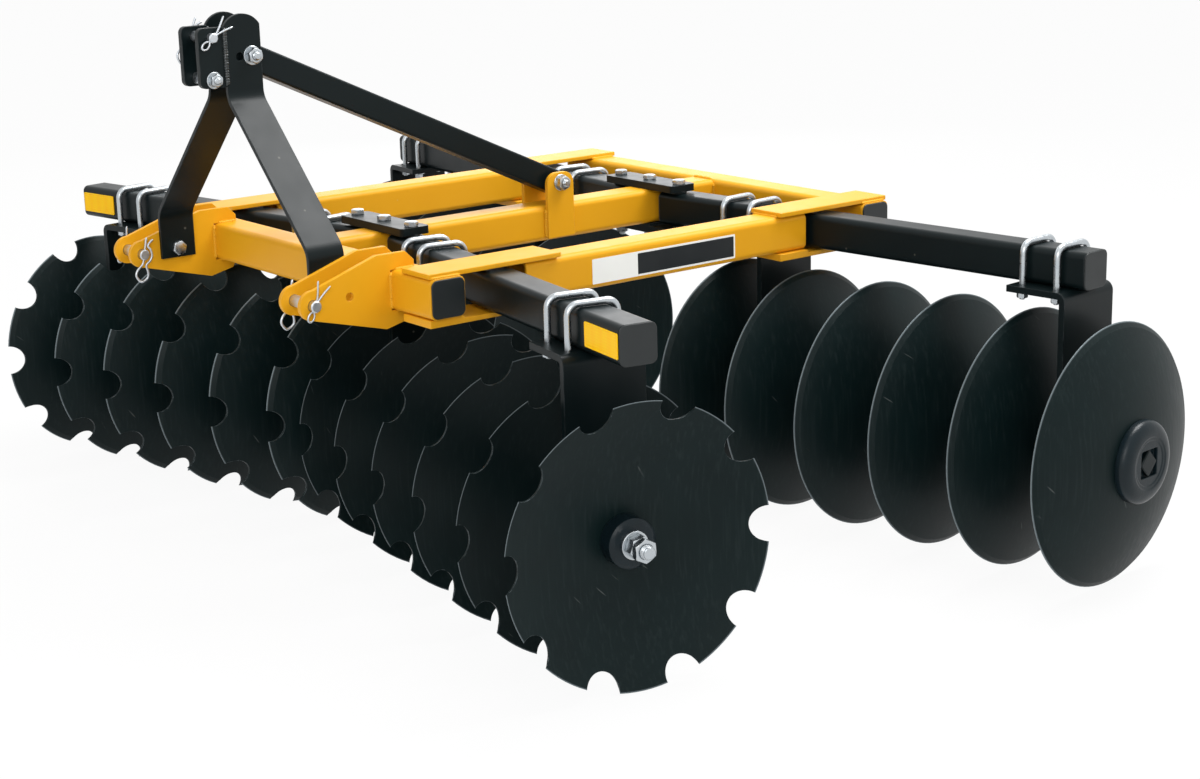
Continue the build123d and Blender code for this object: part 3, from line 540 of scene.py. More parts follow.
# %% Skin, stand, install and forge
def skin(rings):
    """Close a stack of equal rings: quads between them and a cap at each end."""
    count = len(rings[0])
    points = [point for ring in rings for point in ring]
    faces = []
    for k in range(len(rings) - 1):
        low, high = k * count, (k + 1) * count
        for i in range(count):
            beside = (i + 1) % count
            faces.append((low + i, low + beside, high + beside, high + i))
    caps = [tuple(reversed(range(count))), tuple(range(len(points) - count, len(points)))]
    return points, faces + caps


def stand(solid, foot, axis, spin=0.0):
    """Stand a solid that was made along z on a foot point, along an axis."""
    turn = Vector(axis).to_track_quat("Z", "Y").to_matrix() @ Matrix.Rotation(radians(spin), 3, "Z")
    points, faces = solid
    return [Vector(foot) + turn @ Vector(point) for point in points], faces


def install(name, mesh, material, body, replaces):
    """Show a mesh as a piece in its material, riding on a body."""
    mesh.materials.append(material)
    piece = place_in_scene(name, mesh)
    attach(piece, body)
    if replaces:
        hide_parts(replaces)
    print(name, len(mesh.polygons), "faces")
    return piece


def forge(name, solids, material, body, replaces=None, sharp=35):
    """Join solids into one piece that rides on a body."""
    points, faces = [], []
    for solid_points, solid_faces in solids:
        faces += [tuple(i + len(points) for i in face) for face in solid_faces]
        points += [tuple(point) for point in solid_points]
    mesh = bpy.data.meshes.new(name)
    mesh.from_pydata(points, [], faces)
    shell = bmesh.new()
    shell.from_mesh(mesh)
    bmesh.ops.recalc_face_normals(shell, faces=shell.faces)
    shell.to_mesh(mesh)
    shell.free()
    mesh.polygons.foreach_set("use_smooth", [True] * len(mesh.polygons))
    mesh.set_sharp_from_angle(angle=radians(sharp))
    return install(name, mesh, material, body, replaces)


# %% [markdown]
# ## Turned parts, hexagons and threads
# A washer is turned: a profile of radius and height. A forged hexagon is turned too after it is
# struck, which cuts its corners to a 30 degree cone; that is the curved line on each flat. A thread
# is a ridge wound round a core, so it is a small four-sided ring carried up a helix.

# %% Turned parts, hexagons and threads
ROUND = [2 * pi * i / 48 for i in range(48)]
HEX = [2 * pi * i / 72 for i in range(72)]
SIXTH = radians(60)


def round_point(radius, angle, z):
    """A point at a radius, an angle and a height, in mm."""
    return radius * MM * cos(angle), radius * MM * sin(angle), z * MM


def turned(profile):
    """Solid of revolution from (radius, height) pairs in mm."""
    return skin([[round_point(r, a, z) for a in ROUND] for r, z in profile])


def washer(radius, thickness):
    """Punched washer: one side rounded over by the punch."""
    return turned([(radius - 0.4, 0), (radius, 0.4), (radius, thickness - 0.8),
                   (radius - 0.8, thickness)])


def hexagon(flats, height, bore=0.0):
    """Hex head or nut, its corners cut by a 30 degree cone, and a nut's hole countersunk."""
    half, lip = flats / 2, 0.95 * flats / 2
    reach = [half / cos(a % SIXTH - SIXTH / 2) for a in HEX]
    drop = [(r - lip) * tan(radians(30)) for r in reach]
    flat = [(lip, 0.0)] * len(HEX)
    stack = [flat, list(zip(reach, drop)), [(r, height - d) for r, d in zip(reach, drop)],
             [(lip, height)] * len(HEX)]
    if bore:
        stack += [[(bore + 1.0, height)] * len(HEX), [(bore, height - 1.0)] * len(HEX)]
    return skin([[round_point(r, a, z) for a, (r, z) in zip(HEX, ring)] for ring in stack])


def thread(radius, pitch, length):
    """Threaded end, its tip chamfered: a core, and a ridge wound round it."""
    root = radius - 0.55 * pitch
    core = turned([(root, 0), (root, length - 1.0), (root - 1.0, length)])
    steps = 24
    ridge = []
    for i in range(int(steps * (length - 1.5 * pitch) / pitch)):
        angle, z = 2 * pi * i / steps, pitch * i / steps
        section = ((root - 0.2, 0.0), (radius, 0.36), (radius, 0.5), (root - 0.2, 0.86))
        ridge.append([round_point(r, angle, z + share * pitch) for r, share in section])
    return [core, skin(ridge)]


print("a 19 mm nut has", len(hexagon(19, 11)[0]), "points")

# %% [markdown]
# ## Rods along a path
# U-bolts and clips are bent from rod. Their rings follow a path and must not twist on the way, so
# each ring's first direction is the last one's, squared up to the path again. A bender leaves true
# arcs between straight legs; a spring wire flows, and is better drawn as a smooth curve through a
# few points.

# %% Bent rod and spring wire
def rod(path, radii, sides=14):
    """Round rod along a path, one radius in mm for each point of it or one for all."""
    path = [Vector(point) for point in path]
    radii = radii if isinstance(radii, list) else [radii] * len(path)
    across = (path[1] - path[0]).orthogonal().normalized()
    rings = []
    for i, (point, radius) in enumerate(zip(path, radii)):
        along = (path[min(i + 1, len(path) - 1)] - path[max(i - 1, 0)]).normalized()
        across = (across - across.dot(along) * along).normalized()
        other = along.cross(across)
        turns = [2 * pi * k / sides for k in range(sides)]
        rings.append([point + (across * cos(a) + other * sin(a)) * radius * MM for a in turns])
    return skin(rings)


def bender(points, radius, steps=8):
    """A path with its corners bent to arcs of a radius in mm."""
    points = [Vector(point) for point in points]
    path = [points[0]]
    for before, corner, after in zip(points, points[1:], points[2:]):
        back, on = (before - corner).normalized(), (after - corner).normalized()
        half = back.angle(on) / 2
        centre = corner + (back + on).normalized() * radius * MM / sin(half)
        start = corner + back * radius * MM / tan(half) - centre
        end = corner + on * radius * MM / tan(half) - centre
        path += [centre + start.normalized().slerp(end.normalized(), k / steps) * radius * MM
                 for k in range(steps + 1)]
    return path + [points[-1]]


def flowing(points, steps=6):
    """A smooth curve through points, as a spring wire takes."""
    points = [Vector(point) for point in points]
    ends = [points[0] * 2 - points[1]] + points + [points[-1] * 2 - points[-2]]
    path = []
    for a, b, c, d in zip(ends, ends[1:], ends[2:], ends[3:]):
        for k in range(steps):
            t = k / steps
            path.append(0.5 * (2 * b + (c - a) * t + (2 * a - 5 * b + 4 * c - d) * t * t
                               + (3 * b - a - 3 * c + d) * t ** 3))
    return path + [points[-1]]


# %% [markdown]
# ## Where the solids are
# Bolts are placed from the CAD solids that they finish. A node can hold several solids, so its mesh is
# taken apart into islands of joined points. Along a gang, places are measured in the gang's own
# directions: outwards along the axle and rearwards across it.

# %% Islands of a node
def connected(first):
    """Every vertex that edges join to this one, itself among them."""
    found, search = {first}, [first]
    while search:
        for edge in search.pop().link_edges:
            for vertex in edge.verts:
                if vertex not in found:
                    found.add(vertex)
                    search.append(vertex)
    return found


def shell_of(node):
    """A CAD node's mesh copied for working on, its doubled points merged."""
    shell = bmesh.new()
    shell.from_mesh(frame["nodes"][node].data)
    bmesh.ops.remove_doubles(shell, verts=shell.verts, dist=0.01 * MM)
    return shell


def solids_of(node):
    """The separate solids of a CAD node, each as a list of its points."""
    shell = shell_of(node)
    seen, islands = set(), []
    for first in shell.verts:
        if first not in seen:
            island = connected(first)
            seen |= island
            islands.append([vertex.co.copy() for vertex in shell.verts if vertex in island])
    shell.free()
    return islands


def span(points, direction):
    """Lowest and highest place of points along a direction."""
    places = [point.dot(direction) for point in points]
    return min(places), max(places)


UP = Vector((0, 0, 1))


def directions(gang):
    """Outward along the gang and rearward across it."""
    outward = Vector(JOINTS[f"{gang}_disc_spin"]["axis"])
    rearward = UP.cross(outward)
    return outward, rearward if rearward.y > 0 else -rearward


print("pivot bolts", [[round(c, 3) for c in island[0]] for island in solids_of("pivot_bolts")])

# %% [markdown]
# ## U-bolts
# Each hanger is clamped to its beam by two U-bolts of half-inch rod, bent square to fit round the tube,
# with a plate washer and a nut on each leg. They are the brightest things on the gangs. The crown is
# bare rod and only the leg ends are threaded, because the thread is rolled before bending.

# %% U-bolts
ROD = 12.7
BEND_RADIUS, FOOT_PLATE, WASHER, NUT = 20.0, 14.0, 2.8, 11.0
LEG_START, THREAD_START = 4.0, 8.0   # of the rod and of its threaded end, over the leg's lowest point


def u_bolt(points, outward, rearward):
    """One U-bolt with washers and nuts, sized from its CAD solid."""
    s = sum(span(points, outward)) / 2
    low, high = span(points, UP)
    v_front, v_rear = span([point for point in points if point.z > (low + high) / 2], rearward)
    legs = (v_front + ROD / 2 * MM, v_rear - ROD / 2 * MM)
    feet = [outward * s + rearward * v for v in legs]
    crown, start = UP * (high - ROD / 2 * MM), UP * (low + LEG_START * MM)
    nut_top = low + (FOOT_PLATE + 3.0) * MM
    path = bender([feet[0] + start, feet[0] + crown, feet[1] + crown, feet[1] + start], BEND_RADIUS)
    made = [rod(path, ROD / 2, 20)]
    for foot in feet:
        made.append(stand(washer(15.0, WASHER), foot + UP * nut_top, -UP))
        made.append(stand(hexagon(19.0, NUT, 6.6), foot + UP * (nut_top - WASHER * MM), -UP,
                          spin=foot.x * 900))
        made += [stand(part, foot + UP * (low + THREAD_START * MM), -UP)
                 for part in thread(ROD / 2, 1.95, 8.0)]
    return made


for gang in GANGS:
    outward, rearward = directions(gang)
    made = []
    for points in solids_of(f"{gang}_u_bolts"):
        made += u_bolt(points, outward, rearward)
    forge(f"{gang}_bent_u_bolts", made, zinc_plate, f"{gang}_gang_beam", f"{gang}_u_bolts")

# %% [markdown]
# ## Axles
# A square bar runs through every disc and spool of a gang, so that they all turn together. One end is
# forged to a square head that sits in the bell's pocket; it is painted with the gang. The other is
# threaded for a big nut and a jam nut, put on after painting, so they are bright.

# %% Axles and their nuts
BAR_HALF, HEAD_HALF = 14.3, 18.4                 # half the square bar, half its forged head
RECESS, POCKET, POCKET_HALF = 3.2, 12.0, 26.2    # depths under the bell's face, half the pocket
WASHER_AT, NUT_AT, JAM_AT = 55.0, 49.0, 26.0     # back from the axle's tip
THREAD_LENGTH, STUD = 30.0, 12.7                 # the threaded end and its radius


def square_bar(half, start, end, chamfer=1.2):
    """Square bar standing on its corner, its ends and arrises broken."""
    def ring(size, z):
        cut = chamfer
        corners = [(size, size - cut), (size - cut, size), (cut - size, size), (-size, size - cut),
                   (-size, cut - size), (cut - size, -size), (size - cut, -size), (size, cut - size)]
        return [(x * MM, y * MM, z * MM) for x, y in corners]
    return skin([ring(half - chamfer, start), ring(half, start + chamfer), ring(half, end - chamfer),
                 ring(half - chamfer, end)])


def axle_line(gang):
    """A point on a gang's axle and the way its discs open: front gangs outward, rear gangs inward."""
    outward, rearward = directions(gang)
    return Vector(JOINTS[f"{gang}_disc_spin"]["pos_m"]), outward if gang.endswith("front") else -outward


def on_axle(solid, gang, spin):
    """Stand a solid on a gang's axle: z is the way its discs open, x is level before the spin."""
    line, opens = axle_line(gang)
    basis = Matrix((UP.cross(opens), UP, opens)).transposed() @ Matrix.Rotation(radians(spin), 3, "Z")
    points, faces = solid
    return [line + basis @ Vector(point) for point in points], faces


for gang in GANGS:
    line, opens = axle_line(gang)
    points = [point - line for point in solids_of(f"{gang}_axle")[0]]
    head, tip = (value / MM for value in span(points, opens))
    bars = [square_bar(BAR_HALF, head + 4, tip - WASHER_AT),
            square_bar(HEAD_HALF, head + RECESS, head + POCKET, 1.6)]
    forge(f"{gang}_square_axle", [on_axle(bar, gang, 45) for bar in bars],
          black_enamel, f"{gang}_disc_gang", f"{gang}_axle")
    made = [on_axle(washer(25.5, 6.0), gang, 0), on_axle(hexagon(38.1, 22.0, 13.0), gang, 12),
            on_axle(hexagon(38.1, 14.0, 13.0), gang, 32)]
    for (points, faces), back in zip(made, (WASHER_AT, NUT_AT, JAM_AT)):
        points[:] = [point + opens * (tip - back) * MM for point in points]
    made += [stand(part, line + opens * (tip - THREAD_LENGTH) * MM, opens)
             for part in thread(STUD, 3.2, THREAD_LENGTH)]
    forge(f"{gang}_axle_nuts", made, zinc_plate, f"{gang}_disc_gang")

# %% [markdown]
# ## Bells
# The casting that holds the axle's head is a bell: its skirt sits on the outermost blade, its shoulder
# is round, and its face is dished with a square pocket in the middle. The head stands on its corner in
# a pocket that doesn't, so its four corners touch the pocket's sides and four dark gaps are left. The
# CAD casting is plain, so each gang's castings are copied, the plain bell is taken out of the copy,
# and a turned one with the dish and the pocket goes in. The spools between the blades stay as they are.

# %% Bells with a dish and a pocket
def square_ring(half, z, corner=3.0):
    """Points round a square with its corners rounded off, one for each point of a round ring."""
    reach = [min(half / max(abs(cos(a)), abs(sin(a))), half * 2 ** 0.5 - corner * 0.4) for a in ROUND]
    return [round_point(r, a, z) for a, r in zip(ROUND, reach)]


def bell(skirt):
    """From the pocket's floor over the dish and the shoulder to the back of the skirt."""
    quarter = [pi / 2 * i / 8 for i in range(9)]
    dish = [(42.5, RECESS), (43.4, RECESS - 0.3), (44.2, 1.9), (48.6, 1.6), (50.0, 1.3), (51.0, 0.5)]
    shoulder = [(54 + 26 * sin(a), 0.3 + 17 * (1 - cos(a))) for a in quarter]
    inside = [(80, skirt), (76, skirt - 0.6), (45, 21.8)]
    pocket = [square_ring(POCKET_HALF, POCKET), square_ring(POCKET_HALF, RECESS + 0.8),
              square_ring(POCKET_HALF + 0.8, RECESS)]
    return skin(pocket + [[round_point(r, a, z) for a in ROUND] for r, z in dish + shoulder + inside])


for gang in GANGS:
    line, opens = axle_line(gang)
    shell = shell_of(f"{gang}_spools")
    plain = connected(min(shell.verts, key=lambda vertex: vertex.co.dot(opens)))
    face, back = span([vertex.co - line for vertex in plain], opens)
    bmesh.ops.delete(shell, geom=list(plain), context="VERTS")
    points, faces = on_axle(bell((back - face) / MM), gang, 0)
    corners = [shell.verts.new(point + opens * face) for point in points]
    for ring in faces:
        shell.faces.new([corners[i] for i in ring])
    bmesh.ops.recalc_face_normals(shell, faces=shell.faces)
    mesh = bpy.data.meshes.new(f"{gang}_spool_castings")
    shell.to_mesh(mesh)
    shell.free()
    castings = install(f"{gang}_spool_castings", mesh, cast_iron, f"{gang}_disc_gang",
                       f"{gang}_spools")
    ease_edges(castings, 1.0)
    print(gang, "bell", round((back - face) / MM, 1), "mm deep")

# %% [markdown]
# ## Bolts with washers and nuts
# Six bolts clamp the pivot plates, their heads straight on the plate, and four more hold the mast's
# feet, the clevis and the two ends of the brace. Nuts have a washer under them, and a few threads
# stand out past each nut.

# %% One bolt
HALF_INCH = {"radius": 6.4, "flats": 22.2}
FIVE_EIGHTHS = {"radius": 7.9, "flats": 27.0}
PIVOT_STUD = {"radius": 7.95, "flats": 25.4}
BOLT_WASHER = 2.6
X, Y = Vector((1, 0, 0)), Vector((0, 1, 0))


def bolt(head_seat, nut_seat, washer_radius, spin, washers, radius, flats):
    """Hex bolt from the face under its head to the face under its nut."""
    head_seat, nut_seat = Vector(head_seat), Vector(nut_seat)
    axis = (nut_seat - head_seat).normalized()
    grip = (nut_seat - head_seat).length / MM
    under_head, under_nut = washers
    nut_height = 1.9 * radius
    made = [stand(turned([(radius, 0), (radius, grip)]), head_seat, axis),
            stand(hexagon(flats, 1.25 * radius), head_seat - axis * under_head * MM, -axis, spin),
            stand(hexagon(flats, nut_height, radius + 0.2), nut_seat + axis * under_nut * MM, axis,
                  spin + 17)]
    for seat, way, thick in ((head_seat, -axis, under_head), (nut_seat, axis, under_nut)):
        if thick:
            made.append(stand(washer(washer_radius, thick), seat, way))
    made += [stand(part, nut_seat, axis) for part in thread(radius, 2.3, under_nut + nut_height + 7.0)]
    return made


# %% Pivot bolts
HEAD_DEPTH, NUT_DEPTH = 10, 19       # of the CAD bolt beyond the plates it clamps
made = []
for number, points in enumerate(solids_of("pivot_bolts")):
    x, y = (sum(span(points, axis)) / 2 for axis in (X, Y))
    low, high = span(points, UP)
    made += bolt((x, y, high - HEAD_DEPTH * MM), (x, y, low + NUT_DEPTH * MM), 16.5, number * 23,
                 (0, BOLT_WASHER), **PIVOT_STUD)
forge("hex_pivot_bolts", made, zinc_plate, "frame", "pivot_bolts")

# %% Bolts of the mast, the clevis and the brace
clevis_low, clevis_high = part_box("top_link_clevis")
bar_low, bar_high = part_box("left_mast_bar")
lugs_low, lugs_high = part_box("brace_lugs")
pin_low, pin_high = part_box("top_link_pin")
top_pin_y = (pin_low.y + pin_high.y) / 2
hitch_low, hitch_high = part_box("lower_hitch_pins")
hitch_pin_y, hitch_pin_z = (hitch_low.y + hitch_high.y) / 2, (hitch_low.z + hitch_high.z) / 2
crossbar_low, crossbar_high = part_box("front_crossbar")

CLEVIS_PLATE, HITCH_PLATE, MAST_BAR = 12.7, 9.5, 8.0  # thicknesses
CLEVIS_BOLT_UP = 15.0                # over the clevis's lower edge
BRACE_BOLT_BACK, BRACE_BOLT_UP = 56.0, 420.0     # from the mast bars' front and from the hitch pins
LUG_BOLT_DOWN = 22.0                 # under the lugs' tops
FOOT_BOLT_AHEAD, FOOT_BOLT_UP = 89.4, 1.5        # from the crossbar's front and from its middle
BOTH = (BOLT_WASHER, BOLT_WASHER)

half_clevis = clevis_high.x
inner_gap = half_clevis - CLEVIS_PLATE * MM
crossbar_z = (crossbar_low.z + crossbar_high.z) / 2
clevis_bolt = Vector((0, top_pin_y, clevis_low.z + CLEVIS_BOLT_UP * MM))
brace_bolt = Vector((0, bar_low.y + BRACE_BOLT_BACK * MM, hitch_pin_z + BRACE_BOLT_UP * MM))
lug_bolt = Vector((0, (lugs_low.y + lugs_high.y) / 2, lugs_high.z - LUG_BOLT_DOWN * MM))
foot_bolt = Vector((0, crossbar_low.y - FOOT_BOLT_AHEAD * MM, crossbar_z + FOOT_BOLT_UP * MM))
made = []
for middle, half, washer_radius, spin, size in (
        # its middle, half its grip, washer radius, spin, size
        (clevis_bolt, half_clevis, 16.0, 8, HALF_INCH),
        (brace_bolt, half_clevis, 18.5, 20, FIVE_EIGHTHS),
        (lug_bolt, lugs_high.x, 17.5, 3, FIVE_EIGHTHS)):
    made += bolt(middle - X * half, middle + X * half, washer_radius, spin, BOTH, **size)
# the tube that keeps the clevis plates apart on their bolt
TUBE_RADIUS, TUBE_PLAY = 12.0, 0.3
tube = 2 * (inner_gap / MM - TUBE_PLAY)
spacer = turned([(TUBE_RADIUS - 1, 0), (TUBE_RADIUS, 1), (TUBE_RADIUS, tube - 1),
                 (TUBE_RADIUS - 1, tube)])
made.append(stand(spacer, clevis_bolt - X * (inner_gap - TUBE_PLAY * MM), X))
for way in (X, -X):
    inside, outside = bar_high.x - MAST_BAR * MM, bar_high.x + HITCH_PLATE * MM
    made += bolt(foot_bolt + way * inside, foot_bolt + way * outside, 18.0, 14, (0, BOLT_WASHER),
                 **FIVE_EIGHTHS)
forge("mast_and_brace_bolts", made, zinc_plate, "frame")

# %% [markdown]
# ## Spring clips and split pins
# Each hitch pin is kept in its plates by wire. Split pins go through the side that is seldom undone:
# an eye on one side, two legs bent apart on the other. The other side has a hairpin clip, whose
# straight leg goes through the pin while the bowed one grips round it, and whose loop hangs down for
# a finger. Both are drawn flat, across and along the wire, then leaned over as they happen to sit.

# %% Wire clips
def lean(points, pin_end, angle):
    """Points drawn across and along a clip, put in the upright plane at a pin's end and leaned over."""
    c, s = cos(radians(angle)), sin(radians(angle))
    return [pin_end + Vector((depth, across * c + along * s, along * c - across * s)) * MM
            for across, along, depth in points]


def wire(path, pin_end, angle, radius, tip):
    """Spring wire along a clip's path, its two ends rounded off."""
    path = flowing(lean(path, pin_end, angle))
    return rod(path, [tip] + [radius] * (len(path) - 2) + [tip], 12)


def split_pin(pin_end, angle):
    """Split pin with its eye below and its legs bent apart above."""
    half = [(14.0, 45.0, 0), (6.5, 27.0, 0), (2.2, 14.0, 0), (1.3, 6.0, 0), (1.3, -9.0, 0),
            (4.6, -15.0, 0), (6.0, -22.0, 0), (3.6, -28.0, 0)]
    path = half + [(0, -29.6, 0)] + [(-across, along, depth) for across, along, depth in reversed(half)]
    return wire(path, pin_end, angle, 1.9, 1.0)


def hairpin(pin_end, pin_radius, angle):
    """Hairpin clip: a straight leg through the pin, a finger loop, and a bowed leg round the pin."""
    path = [(0, 36, 0), (0, 24, 0), (0, 10, 0), (0, -9, 0), (-1.5, -20, 0), (-11, -34, 0), (-12, -46, 1),
            (0, -56, 2), (12, -46, 3), (11, -34, 4), (5, -21, 4.5), (pin_radius + 1, -11, 4.5),
            (pin_radius + 4, 0, 4.5), (pin_radius, 11, 4.5), (4.6, 18, 3), (7, 25, 2), (14, 33, 2)]
    return wire(path, pin_end, angle, 2.3, 1.4)


inset = 5 * MM                       # the cross hole from the pin's end
bracket_low, bracket_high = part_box("left_hitch_bracket")
spread = (bracket_low.x + bracket_high.x) / 2
half_pin = hitch_high.x - spread
made = []
for way in (1, -1):
    outer, inner = (Vector((way * (spread + reach), hitch_pin_y, hitch_pin_z))
                    for reach in (half_pin - inset, inset - half_pin))
    made += [split_pin(outer, 28), hairpin(inner, 11.0, 12)]
top_pin = Vector((0, top_pin_y, (pin_low.z + pin_high.z) / 2))
reach = X * (pin_high.x - inset)
made += [split_pin(top_pin + reach, 50), hairpin(top_pin - reach, 9.5, 24)]
forge("wire_clips", made, pin_zinc_painted_brighter, "frame")

# %% [markdown]
# ## Weld beads
# The frame is joined by fillet welds. A welding torch leaves a bead whose ripples are the frozen rims of
# its pool, 2 to 3 mm apart, drawn here at 5 mm so that they show. A bead is a rod laid in the corner
# between two plates, half sunk in both, whose radius swells and shrinks with each ripple. Its start
# and end are smaller, where the arc is struck and broken. A seeded dice keeps every run the same.

# %% Beads
dice = random.Random(11)
RIPPLE = 5.0


def bead(start, end, width):
    """Weld bead from one point to another, its width in mm."""
    start, end = Vector(start), Vector(end)
    length = (end - start).length / MM
    steps = max(6, round(length / RIPPLE * 4))
    path, radii = [], []
    for i in range(steps + 1):
        t = i / steps
        swell = 0.80 + 0.20 * abs(sin(pi * length * t / RIPPLE))
        taper = min(1.0, 0.55 + 3.0 * min(t, 1 - t) * length / 30.0)
        wander = Vector([dice.uniform(-0.25, 0.25) for _ in range(3)]) * MM
        path.append(start.lerp(end, t) + wander)
        radii.append(width / 2 * swell * taper * dice.uniform(0.95, 1.05))
    return rod(path, radii, 10)


def upright(x, y, low_z, high_z, width):
    """Lay a bead that runs up."""
    beads.append(bead((x, y, low_z), (x, y, high_z), width))


def lengthwise(x, start_y, end_y, z, width):
    """Lay a bead that runs rearwards."""
    beads.append(bead((x, start_y, z), (x, end_y, z), width))


def crosswise(start_x, end_x, y, z, width):
    """Lay a bead that runs across the machine."""
    beads.append(bead((start_x, y, z), (end_x, y, z), width))


# %% Beads of the frame
# they start and end a little short of the corners, where the torch can't reach
low_z, high_z = crossbar_low.z, crossbar_high.z
rear_low, rear_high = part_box("rear_crossbar")
beads = []
# hitch plates: up the crossbar's face, and along the ears over and under it
for way in (1, -1):
    for plate_x in (bracket_low.x, bracket_low.x + HITCH_PLATE * MM,
                    bracket_high.x - HITCH_PLATE * MM, bracket_high.x):
        upright(way * plate_x, crossbar_low.y, low_z + 4 * MM, high_z - 4 * MM, 10)
        for z in (low_z, high_z):
            lengthwise(way * plate_x, crossbar_low.y + 10 * MM, bracket_high.y - 2 * MM, z, 9)
# centre tube against both crossbars
tube_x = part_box("centre_tube")[1].x
for y in (crossbar_high.y, rear_low.y):
    for x in (tube_x, -tube_x):
        upright(x, y, low_z + 9 * MM, high_z - 9 * MM, 9)
    for z in (low_z, high_z):
        crosswise(9 * MM - tube_x, tube_x - 9 * MM, y, z, 9)
# corner plates on the crossbars and side tubes
CORNER_PLATE = 90.0
side_low, side_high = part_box("left_side_tube")
for node, bar_low_y, bar_high_y in (("front_corner_plates", crossbar_low.y, crossbar_high.y),
                                    ("rear_corner_plates", rear_low.y, rear_high.y)):
    low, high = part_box(node)
    runs = [(max(low.y, bar_low_y) + 4 * MM, min(high.y, bar_high_y) - 8 * MM),
            (max(low.y, side_low.y) + 6 * MM, min(high.y, side_high.y) - 6 * MM)]
    inner_x = high.x - CORNER_PLATE * MM
    inner_end = high.y if node.startswith("front") else low.y
    for way in (1, -1):
        for start_y, end_y in runs:
            lengthwise(way * inner_x, start_y, end_y, high_z, 8)
            on_tube = start_y > bar_high_y or end_y < bar_low_y
            edge_x = side_high.x if on_tube else high.x
            lengthwise(way * edge_x, start_y, end_y, high_z + 1 * MM, 7)
        crosswise(way * (inner_x + 6 * MM), way * (high.x - 12 * MM), inner_end, high_z, 8)
# lugs up the sides of the centre tube
for x in (tube_x, -tube_x):
    for y in (lugs_low.y, lugs_high.y):
        upright(x * 1.03, y, lugs_low.z + 3 * MM, high_z - 8 * MM, 11)
forge("frame_weld_beads", beads, yellow_enamel, "frame", sharp=70)

# %% Beads of the mast
# the clevis is welded to the mast bars up its outside seam, where the paint lies thin and glossy; the
# pale edges and the dense pale specks of this paint are painted sparkle, the highlights on the bead's
# ripples
weld_paint_painted_sparkle = sprayed_enamel("black_enamel_over_weld_painted_sparkle", ("#0C1718", "#1B2122"), "#A3A6A4",
                             roughness=0.22, shine=0.50, gloss=0.30, specks=1.0)
beads = []
for seam_x, width in ((half_clevis - 0.5 * MM, 12), (inner_gap, 8)):
    for way in (1, -1):
        upright(way * seam_x, clevis_high.y, clevis_low.z + 2 * MM, clevis_high.z - 2 * MM, width)
forge("mast_weld_beads", beads, weld_paint_painted_sparkle, "frame", sharp=70)

# %% [markdown]
# ## Reflectors
# Road rules ask for amber reflectors towards the front, as wide apart as the machine. Each is a moulded
# acrylic plate on the beam's end: a flat rim, and a field of small prisms that throws light back,
# which reads as a bright even yellow with a fine net in it. The prisms are 3 mm and drawn at 5 mm.

# %% Reflector material
amber_acrylic, tree, shader, place = finish("amber_reflector_acrylic")
cells = add(tree, "ShaderNodeTexVoronoi", {"Scale": 1 / (5 * MM), "Randomness": 0.0}, {"Vector": place})
glow = add(tree, "ShaderNodeMapRange", {"From Min": 0.1, "From Max": 0.7},
           {"Value": cells.outputs["Distance"]})
amber = add(tree, "ShaderNodeMix", {"data_type": "RGBA", 6: linear("#FFCE06"), 7: linear("#FFBE02")},
            {0: glow.outputs["Result"]})
edge_mask, rounded = near_edge(tree, place, 1.0 * MM, 10 * MM)
edged = laid_over(tree, amber.outputs[2], "#FFD95A", edge_mask)
clouded = add(tree, "ShaderNodeTexNoise", {"Scale": 1 / (20 * MM), "Detail": 3.0}, {"Vector": place})
surface(tree, shader, edged, (clouded.outputs["Fac"], 0.15, 0.32), (cells.outputs["Distance"], 0.25, 0.5),
        rounded, {"IOR": 1.49, "Specular IOR Level": 0.1})

# %% Plates with rounded corners
def plate(corner, along, up, out, width, height, thickness, radius, rim=0.0):
    """Thin plate with rounded corners, its edge eased, and a raised rim if one is given. In mm."""
    def ring(inset, level):
        points = []
        r = max(radius - inset, 0.2)
        for cx, cy, start in ((width - radius, height - radius, 0), (radius, height - radius, 90),
                              (radius, radius, 180), (width - radius, radius, 270)):
            for step in range(5):
                a = radians(start + 22.5 * step)
                flat = along * (cx + r * cos(a)) + up * (cy + r * sin(a))
                points.append(corner + (flat + out * level) * MM)
        return points

    ease = min(0.5, thickness / 3)
    rings = [ring(0, 0), ring(0, thickness - ease), ring(ease, thickness)]
    if rim:
        rings += [ring(rim, thickness), ring(rim + 0.5, thickness - 0.6)]
    return skin(rings)


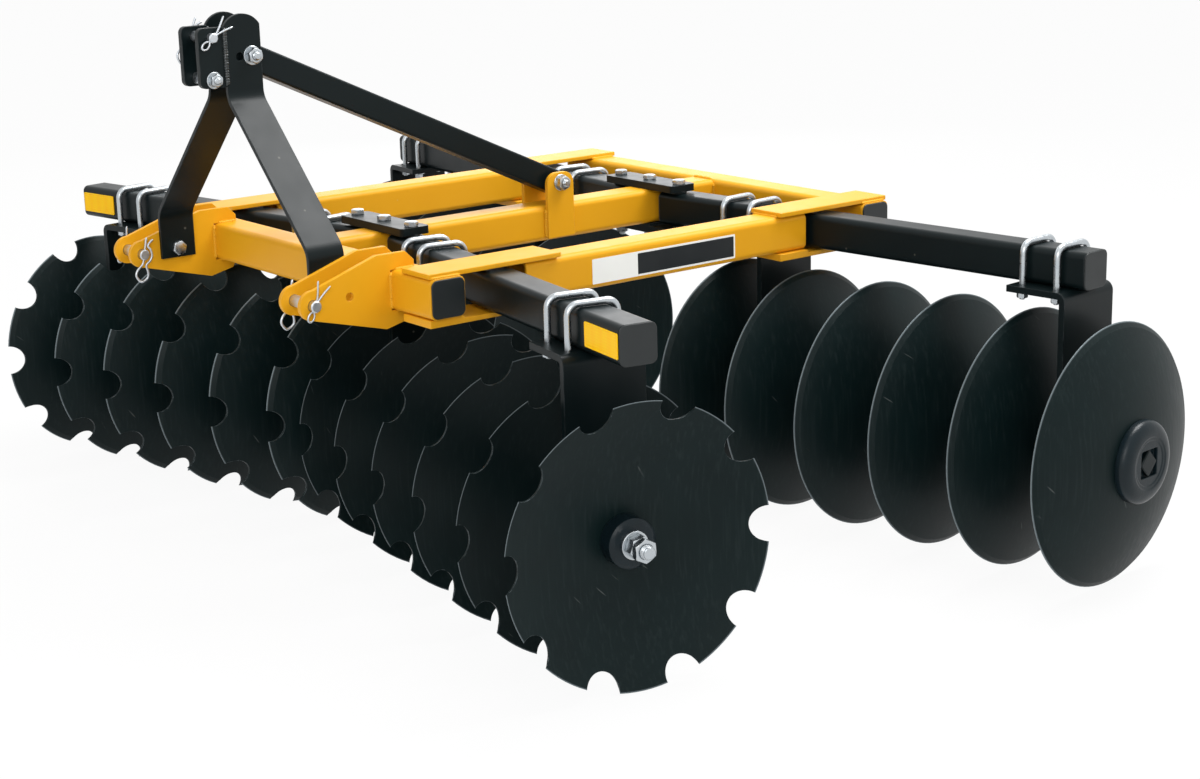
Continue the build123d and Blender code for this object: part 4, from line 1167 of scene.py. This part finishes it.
REFLECTOR = (115, 44)                # width and height
INBOARD, ABOVE = 117, 13.5           # its lower inner corner from the beam's end and lower face
for side_name in ("left", "right"):
    gang = f"{side_name}_front"
    outward, rearward = directions(gang)
    points = solids_of(f"{gang}_beam")[0]
    end, face = span(points, outward)[1], span(points, rearward)[0]
    low, high = span(points, UP)
    corner = outward * (end - INBOARD * MM) + rearward * face + UP * (low + ABOVE * MM)
    forge(f"{gang}_reflector", [plate(corner, outward, UP, -rearward, *REFLECTOR, 2.4, 3.0, rim=2.5)],
          amber_acrylic, f"{gang}_gang_beam")

# %% [markdown]
# ## The blank label
# A printed vinyl strip runs along each side tube: a white ground that shows as a light panel at its
# front end, and a dark field. It is left without words. Vinyl has a satin face with the faint ripple of
# hand laying, its edges lift a hair, and it is as thin as card, so it is two thin plates, one on the
# other.

# %% Vinyl
def printed_vinyl(name, colours):
    """Calendered vinyl film, printed and laid by hand."""
    material, tree, shader, place = finish(name)
    ink, _ = drifting(tree, place, 90 * MM, 3.0, colours)
    edge_mask, rounded = near_edge(tree, place, 0.5 * MM, 10 * MM)
    edged = laid_over(tree, ink, "#B5B5B0", edge_mask, 0.3)
    ripple = add(tree, "ShaderNodeTexNoise", {"Scale": 1 / (30 * MM), "Detail": 1.0}, {"Vector": place})
    surface(tree, shader, edged, (ripple.outputs["Fac"], 0.30, 0.42), (ripple.outputs["Fac"], 0.12, 0.3),
            rounded, {"IOR": 1.53})
    return material


white_vinyl = printed_vinyl("white_printed_vinyl", ("#F3F3EF", "#E9E9E3"))
dark_vinyl = printed_vinyl("dark_printed_vinyl", ("#15191B", "#1E2224"))

FILM, GROUND, FIELD = 0.3, (364, 49), (248, 41)  # thickness, then width and height of the two plates
GROUND_START, GROUND_DROP = -171, 28.5           # its front end, and its foot under the tube's middle
FIELD_BACK, FIELD_UP = 112, 4                    # from the ground's front end and foot
for side_name, way in (("left", 1), ("right", -1)):
    low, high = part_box(f"{side_name}_side_tube")
    out = X * way
    ground_at = Vector((high.x if way > 0 else low.x, GROUND_START * MM,
                        (low.z + high.z) / 2 - GROUND_DROP * MM))
    field_at = ground_at + (Y * FIELD_BACK + UP * FIELD_UP + out * FILM) * MM
    for part, at, size, radius, vinyl in (("ground", ground_at, GROUND, 2.0, white_vinyl),
                                          ("field", field_at, FIELD, 1.5, dark_vinyl)):
        forge(f"{side_name}_label_{part}", [plate(at, Y, UP, out, *size, FILM, radius)],
              vinyl, "frame")

# %% Sizes
print("cad", [[round(c, 4) for c in corner] for corner in cad_box])
